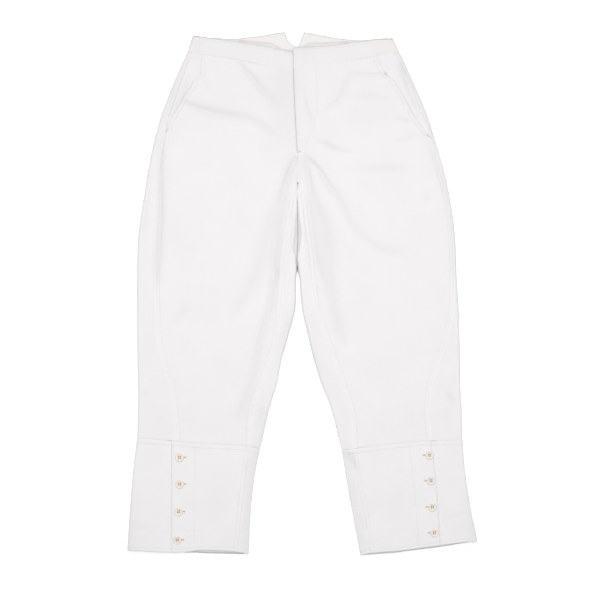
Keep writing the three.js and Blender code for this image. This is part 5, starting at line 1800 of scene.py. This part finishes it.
def button_finish(rim_height):
    """Polished nut: the raised rim painted paler, a painted highlight, round a warmer, darker well, painted
    shade; the split is by height.
    """
    material, tree, shader = node_tree("corozo button")
    place = tree.nodes.new("ShaderNodeTexCoord")
    grain = tree.nodes.new("ShaderNodeTexWave")
    grain.inputs["Scale"].default_value = 160.0
    grain.inputs["Distortion"].default_value = 7.0
    grain.inputs["Detail"].default_value = 3.0
    tree.links.new(place.outputs["Object"], grain.inputs["Vector"])
    rim_highlight_colour = mix_colour(tree, grain.outputs["Fac"], (0.79, 0.73, 0.66), (0.85, 0.80, 0.74))
    well_shade_colour = mix_colour(tree, grain.outputs["Fac"], (0.71, 0.64, 0.56), (0.78, 0.71, 0.62))
    parts = tree.nodes.new("ShaderNodeSeparateXYZ")
    tree.links.new(place.outputs["Object"], parts.inputs[0])
    up = math_node(tree, "SUBTRACT", parts.outputs[2], rim_height - RIM_FALL * MM)
    on_rim = math_node(tree, "MULTIPLY", up, 1 / (RIM_FALL * MM))
    on_rim = math_node(tree, "MAXIMUM", math_node(tree, "MINIMUM", on_rim, 1.0), 0.0)
    tree.links.new(mix_colour(tree, on_rim, well_shade_colour, rim_highlight_colour), shader.inputs["Base Color"])
    fine = tree.nodes.new("ShaderNodeTexNoise")
    fine.inputs["Scale"].default_value = 700.0
    tree.links.new(place.outputs["Object"], fine.inputs["Vector"])
    rough = math_node(tree, "ADD", math_node(tree, "MULTIPLY", fine.outputs[0], 0.2), 0.28)
    tree.links.new(rough, shader.inputs["Roughness"])
    raised = tree.nodes.new("ShaderNodeBump")
    raised.inputs["Strength"].default_value = 0.12
    raised.inputs["Distance"].default_value = 0.0001
    tree.links.new(fine.outputs[0], raised.inputs["Height"])
    tree.links.new(raised.outputs[0], shader.inputs["Normal"])
    return material


# The third colour of each twill is its colour in full painted shade.
leg_twill = twill("white twill", (0.795, 0.780, 0.785), (0.765, 0.750, 0.755), (0.725, 0.710, 0.717))
cuff_twill = twill("white twill of the cuffs",
                   (0.795, 0.780, 0.788), (0.765, 0.750, 0.758), (0.72, 0.71, 0.72))
# The waist, the inside of the back waist and the fly shield take darker copies of the same white twill:
# painted shade.
band_twill_shaded = twill("white twill of the waist", (0.78, 0.766, 0.772), (0.75, 0.736, 0.742), (0.72, 0.71, 0.72))
inner_twill_shaded = twill("white twill of the back waist",
                    (0.785, 0.762, 0.757), (0.755, 0.731, 0.727), (0.70, 0.67, 0.66))
shield_twill_shaded = twill("white twill of the shield", (0.74, 0.73, 0.73), (0.70, 0.69, 0.69), (0.66, 0.65, 0.66))
sewing_thread = thread_finish("white thread", (0.80, 0.785, 0.78), (0.70, 0.69, 0.69), 0.7)
hole_thread = thread_finish("cream thread", (0.76, 0.72, 0.66), (0.66, 0.61, 0.55), 0.7)
button_thread = thread_finish("brown thread", (0.27, 0.20, 0.15), (0.20, 0.145, 0.11), 0.7)
# The buttonhole slits are dark sheets: painted shade where the buttonholes open.
slit_shade = thread_finish("painted shade of a buttonhole slit", (0.26, 0.20, 0.16), (0.18, 0.14, 0.11), 0.9)
corozo = button_finish(max(v.co.z for v in bpy.data.objects["button_right_1"].data.vertices))

# ---------------------------------------------------------------- what each piece is
# flat is the width and length of the cut of what shows, area its area, in metres.
CUTS = {
    "front_right": ("front_panel_right", (0.262, 0.727), 0.151, ["back_panel_cloth_right"]),
    "front_left": ("front_panel_left", (0.294, 0.727), 0.157, ["back_panel_cloth_left"]),
    "back_right": ("back_panel_right", (0.380, 0.735), 0.228, []),
    "back_left": ("back_panel_left", (0.360, 0.737), 0.214, []),
    "facing_right": ("pocket_facing_right", (0.040, 0.141), 0.0027, ["back_panel_cloth_right"]),
    "facing_left": ("pocket_facing_left", (0.040, 0.154), 0.0036, ["back_panel_cloth_left"]),
    "band_front_right": ("waistband_front_right", (0.176, 0.036), 0.0059, ["waistband_back_cloth_right"]),
    "band_front_left": ("waistband_front_left", (0.154, 0.036), 0.0049, ["waistband_back_cloth_left"]),
    "band_back_right": ("waistband_back_right", (0.222, 0.040), 0.0072, []),
    "band_back_left": ("waistband_back_left", (0.232, 0.040), 0.0069, []),
    "cuff_front_right": ("cuff_front_right", (0.144, 0.210), 0.0267, ["cuff_back_cloth_right"]),
    "cuff_front_left": ("cuff_front_left", (0.146, 0.210), 0.0277, ["cuff_back_cloth_left"]),
    "cuff_back_right": ("cuff_back_right", (0.400, 0.214), 0.073, []),
    "cuff_back_left": ("cuff_back_left", (0.390, 0.214), 0.0673, []),
    "shield": ("fly_shield", (0.044, 0.186), 0.0081, ["back_panel_cloth_right"]),
}
# The finish of each kind of piece, by the first words of its name.
FINISHES = {
    "front": leg_twill,
    "back": leg_twill,
    "facing": leg_twill,
    "band_front": band_twill_shaded,
    "band_back": inner_twill_shaded,
    "cuff": cuff_twill,
    "shield": shield_twill_shaded,
}
for name, (node, flat, area, rests) in CUTS.items():
    piece = made[name]
    kind = next(kind for kind in FINISHES if name.startswith(kind))
    piece.data.materials.append(FINISHES[kind])
    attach(piece, "root")
    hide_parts(node)

for piece in threads:
    piece.data.materials.append(hole_thread if piece.name.startswith("buttonholes") else sewing_thread)
    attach(piece, "root")
for side in ("right", "left"):
    slits[side].data.materials.append(slit_shade)
    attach(slits[side], "root")
    sewing = stitches[f"buttons_{side}"]
    sewing.data.materials.append(button_thread)
    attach(sewing, "root")
    for k in range(4):
        button = bpy.data.objects[f"button_{side}_{k + 1}"]
        for place in button.material_slots:
            place.material = corozo

# ---------------------------------------------------------------- floor, light and camera
FLOOR_HALF = 4.0
FLOOR_DROP = 0.0006                         # the floor lies a little lower than the cloth
bm = bmesh.new()
bmesh.ops.create_grid(bm, x_segments=1, y_segments=1, size=FLOOR_HALF,
                      matrix=Matrix.Translation((0, 0, -FLOOR_DROP)))
floor = make_mesh_piece("floor", bm)
floor_paint, _, floor_shader = node_tree("pale floor")
floor_shader.inputs["Base Color"].default_value = (0.95, 0.95, 0.95, 1.0)
floor_shader.inputs["Roughness"].default_value = 1.0
floor_shader.inputs["Specular IOR Level"].default_value = 0.0
floor_shader.inputs["Emission Color"].default_value = (1.0, 1.0, 1.0, 1.0)
floor_shader.inputs["Emission Strength"].default_value = 0.1
floor.data.materials.append(floor_paint)


def soft_light(name, place, size, watts):
    lamp = bpy.data.lights.new(name, "AREA")
    lamp.shape = "RECTANGLE"
    lamp.size, lamp.size_y = size
    lamp.energy = watts
    lamp_object = bpy.data.objects.new(name, lamp)
    lamp_object.location = place
    lamp_object.rotation_euler = (-Vector(place)).to_track_quat("-Z", "Y").to_euler()
    bpy.context.scene.collection.objects.link(lamp_object)


# Place and size in metres, power in watts.
KEY = {"place": (0.0, 3.2, 3.4), "size": (3.0, 1.4), "watts": 64.0}
FILL = {"place": (0.0, 0.0, 2.2), "size": (1.2, 1.2), "watts": 31.4}
WORLD_STRENGTH = 0.373
soft_light("large softbox at the waist end", **KEY)
soft_light("softbox overhead", **FILL)

scene = bpy.context.scene
world = bpy.data.worlds.new("studio")
world.use_nodes = True
world.node_tree.nodes["Background"].inputs["Color"].default_value = (1.0, 1.0, 1.0, 1.0)
world.node_tree.nodes["Background"].inputs["Strength"].default_value = WORLD_STRENGTH
scene.world = world
scene.view_settings.view_transform = "Standard"

LENS = 85.0
FILM = 36.0
FRAME_WIDTH = 1.11                          # metres across the picture, at the height of the fronts
FRONT_HEIGHT = 0.007
CAMERA_X, CAMERA_Y = -0.00426, -0.01129
camera_data = bpy.data.cameras.new("camera")
camera_data.lens = LENS
camera_data.sensor_width = FILM
camera = bpy.data.objects.new("camera", camera_data)
camera.location = (CAMERA_X, CAMERA_Y, FRAME_WIDTH * LENS / FILM + FRONT_HEIGHT)
scene.collection.objects.link(camera)
scene.camera = camera

bpy.context.view_layer.update()
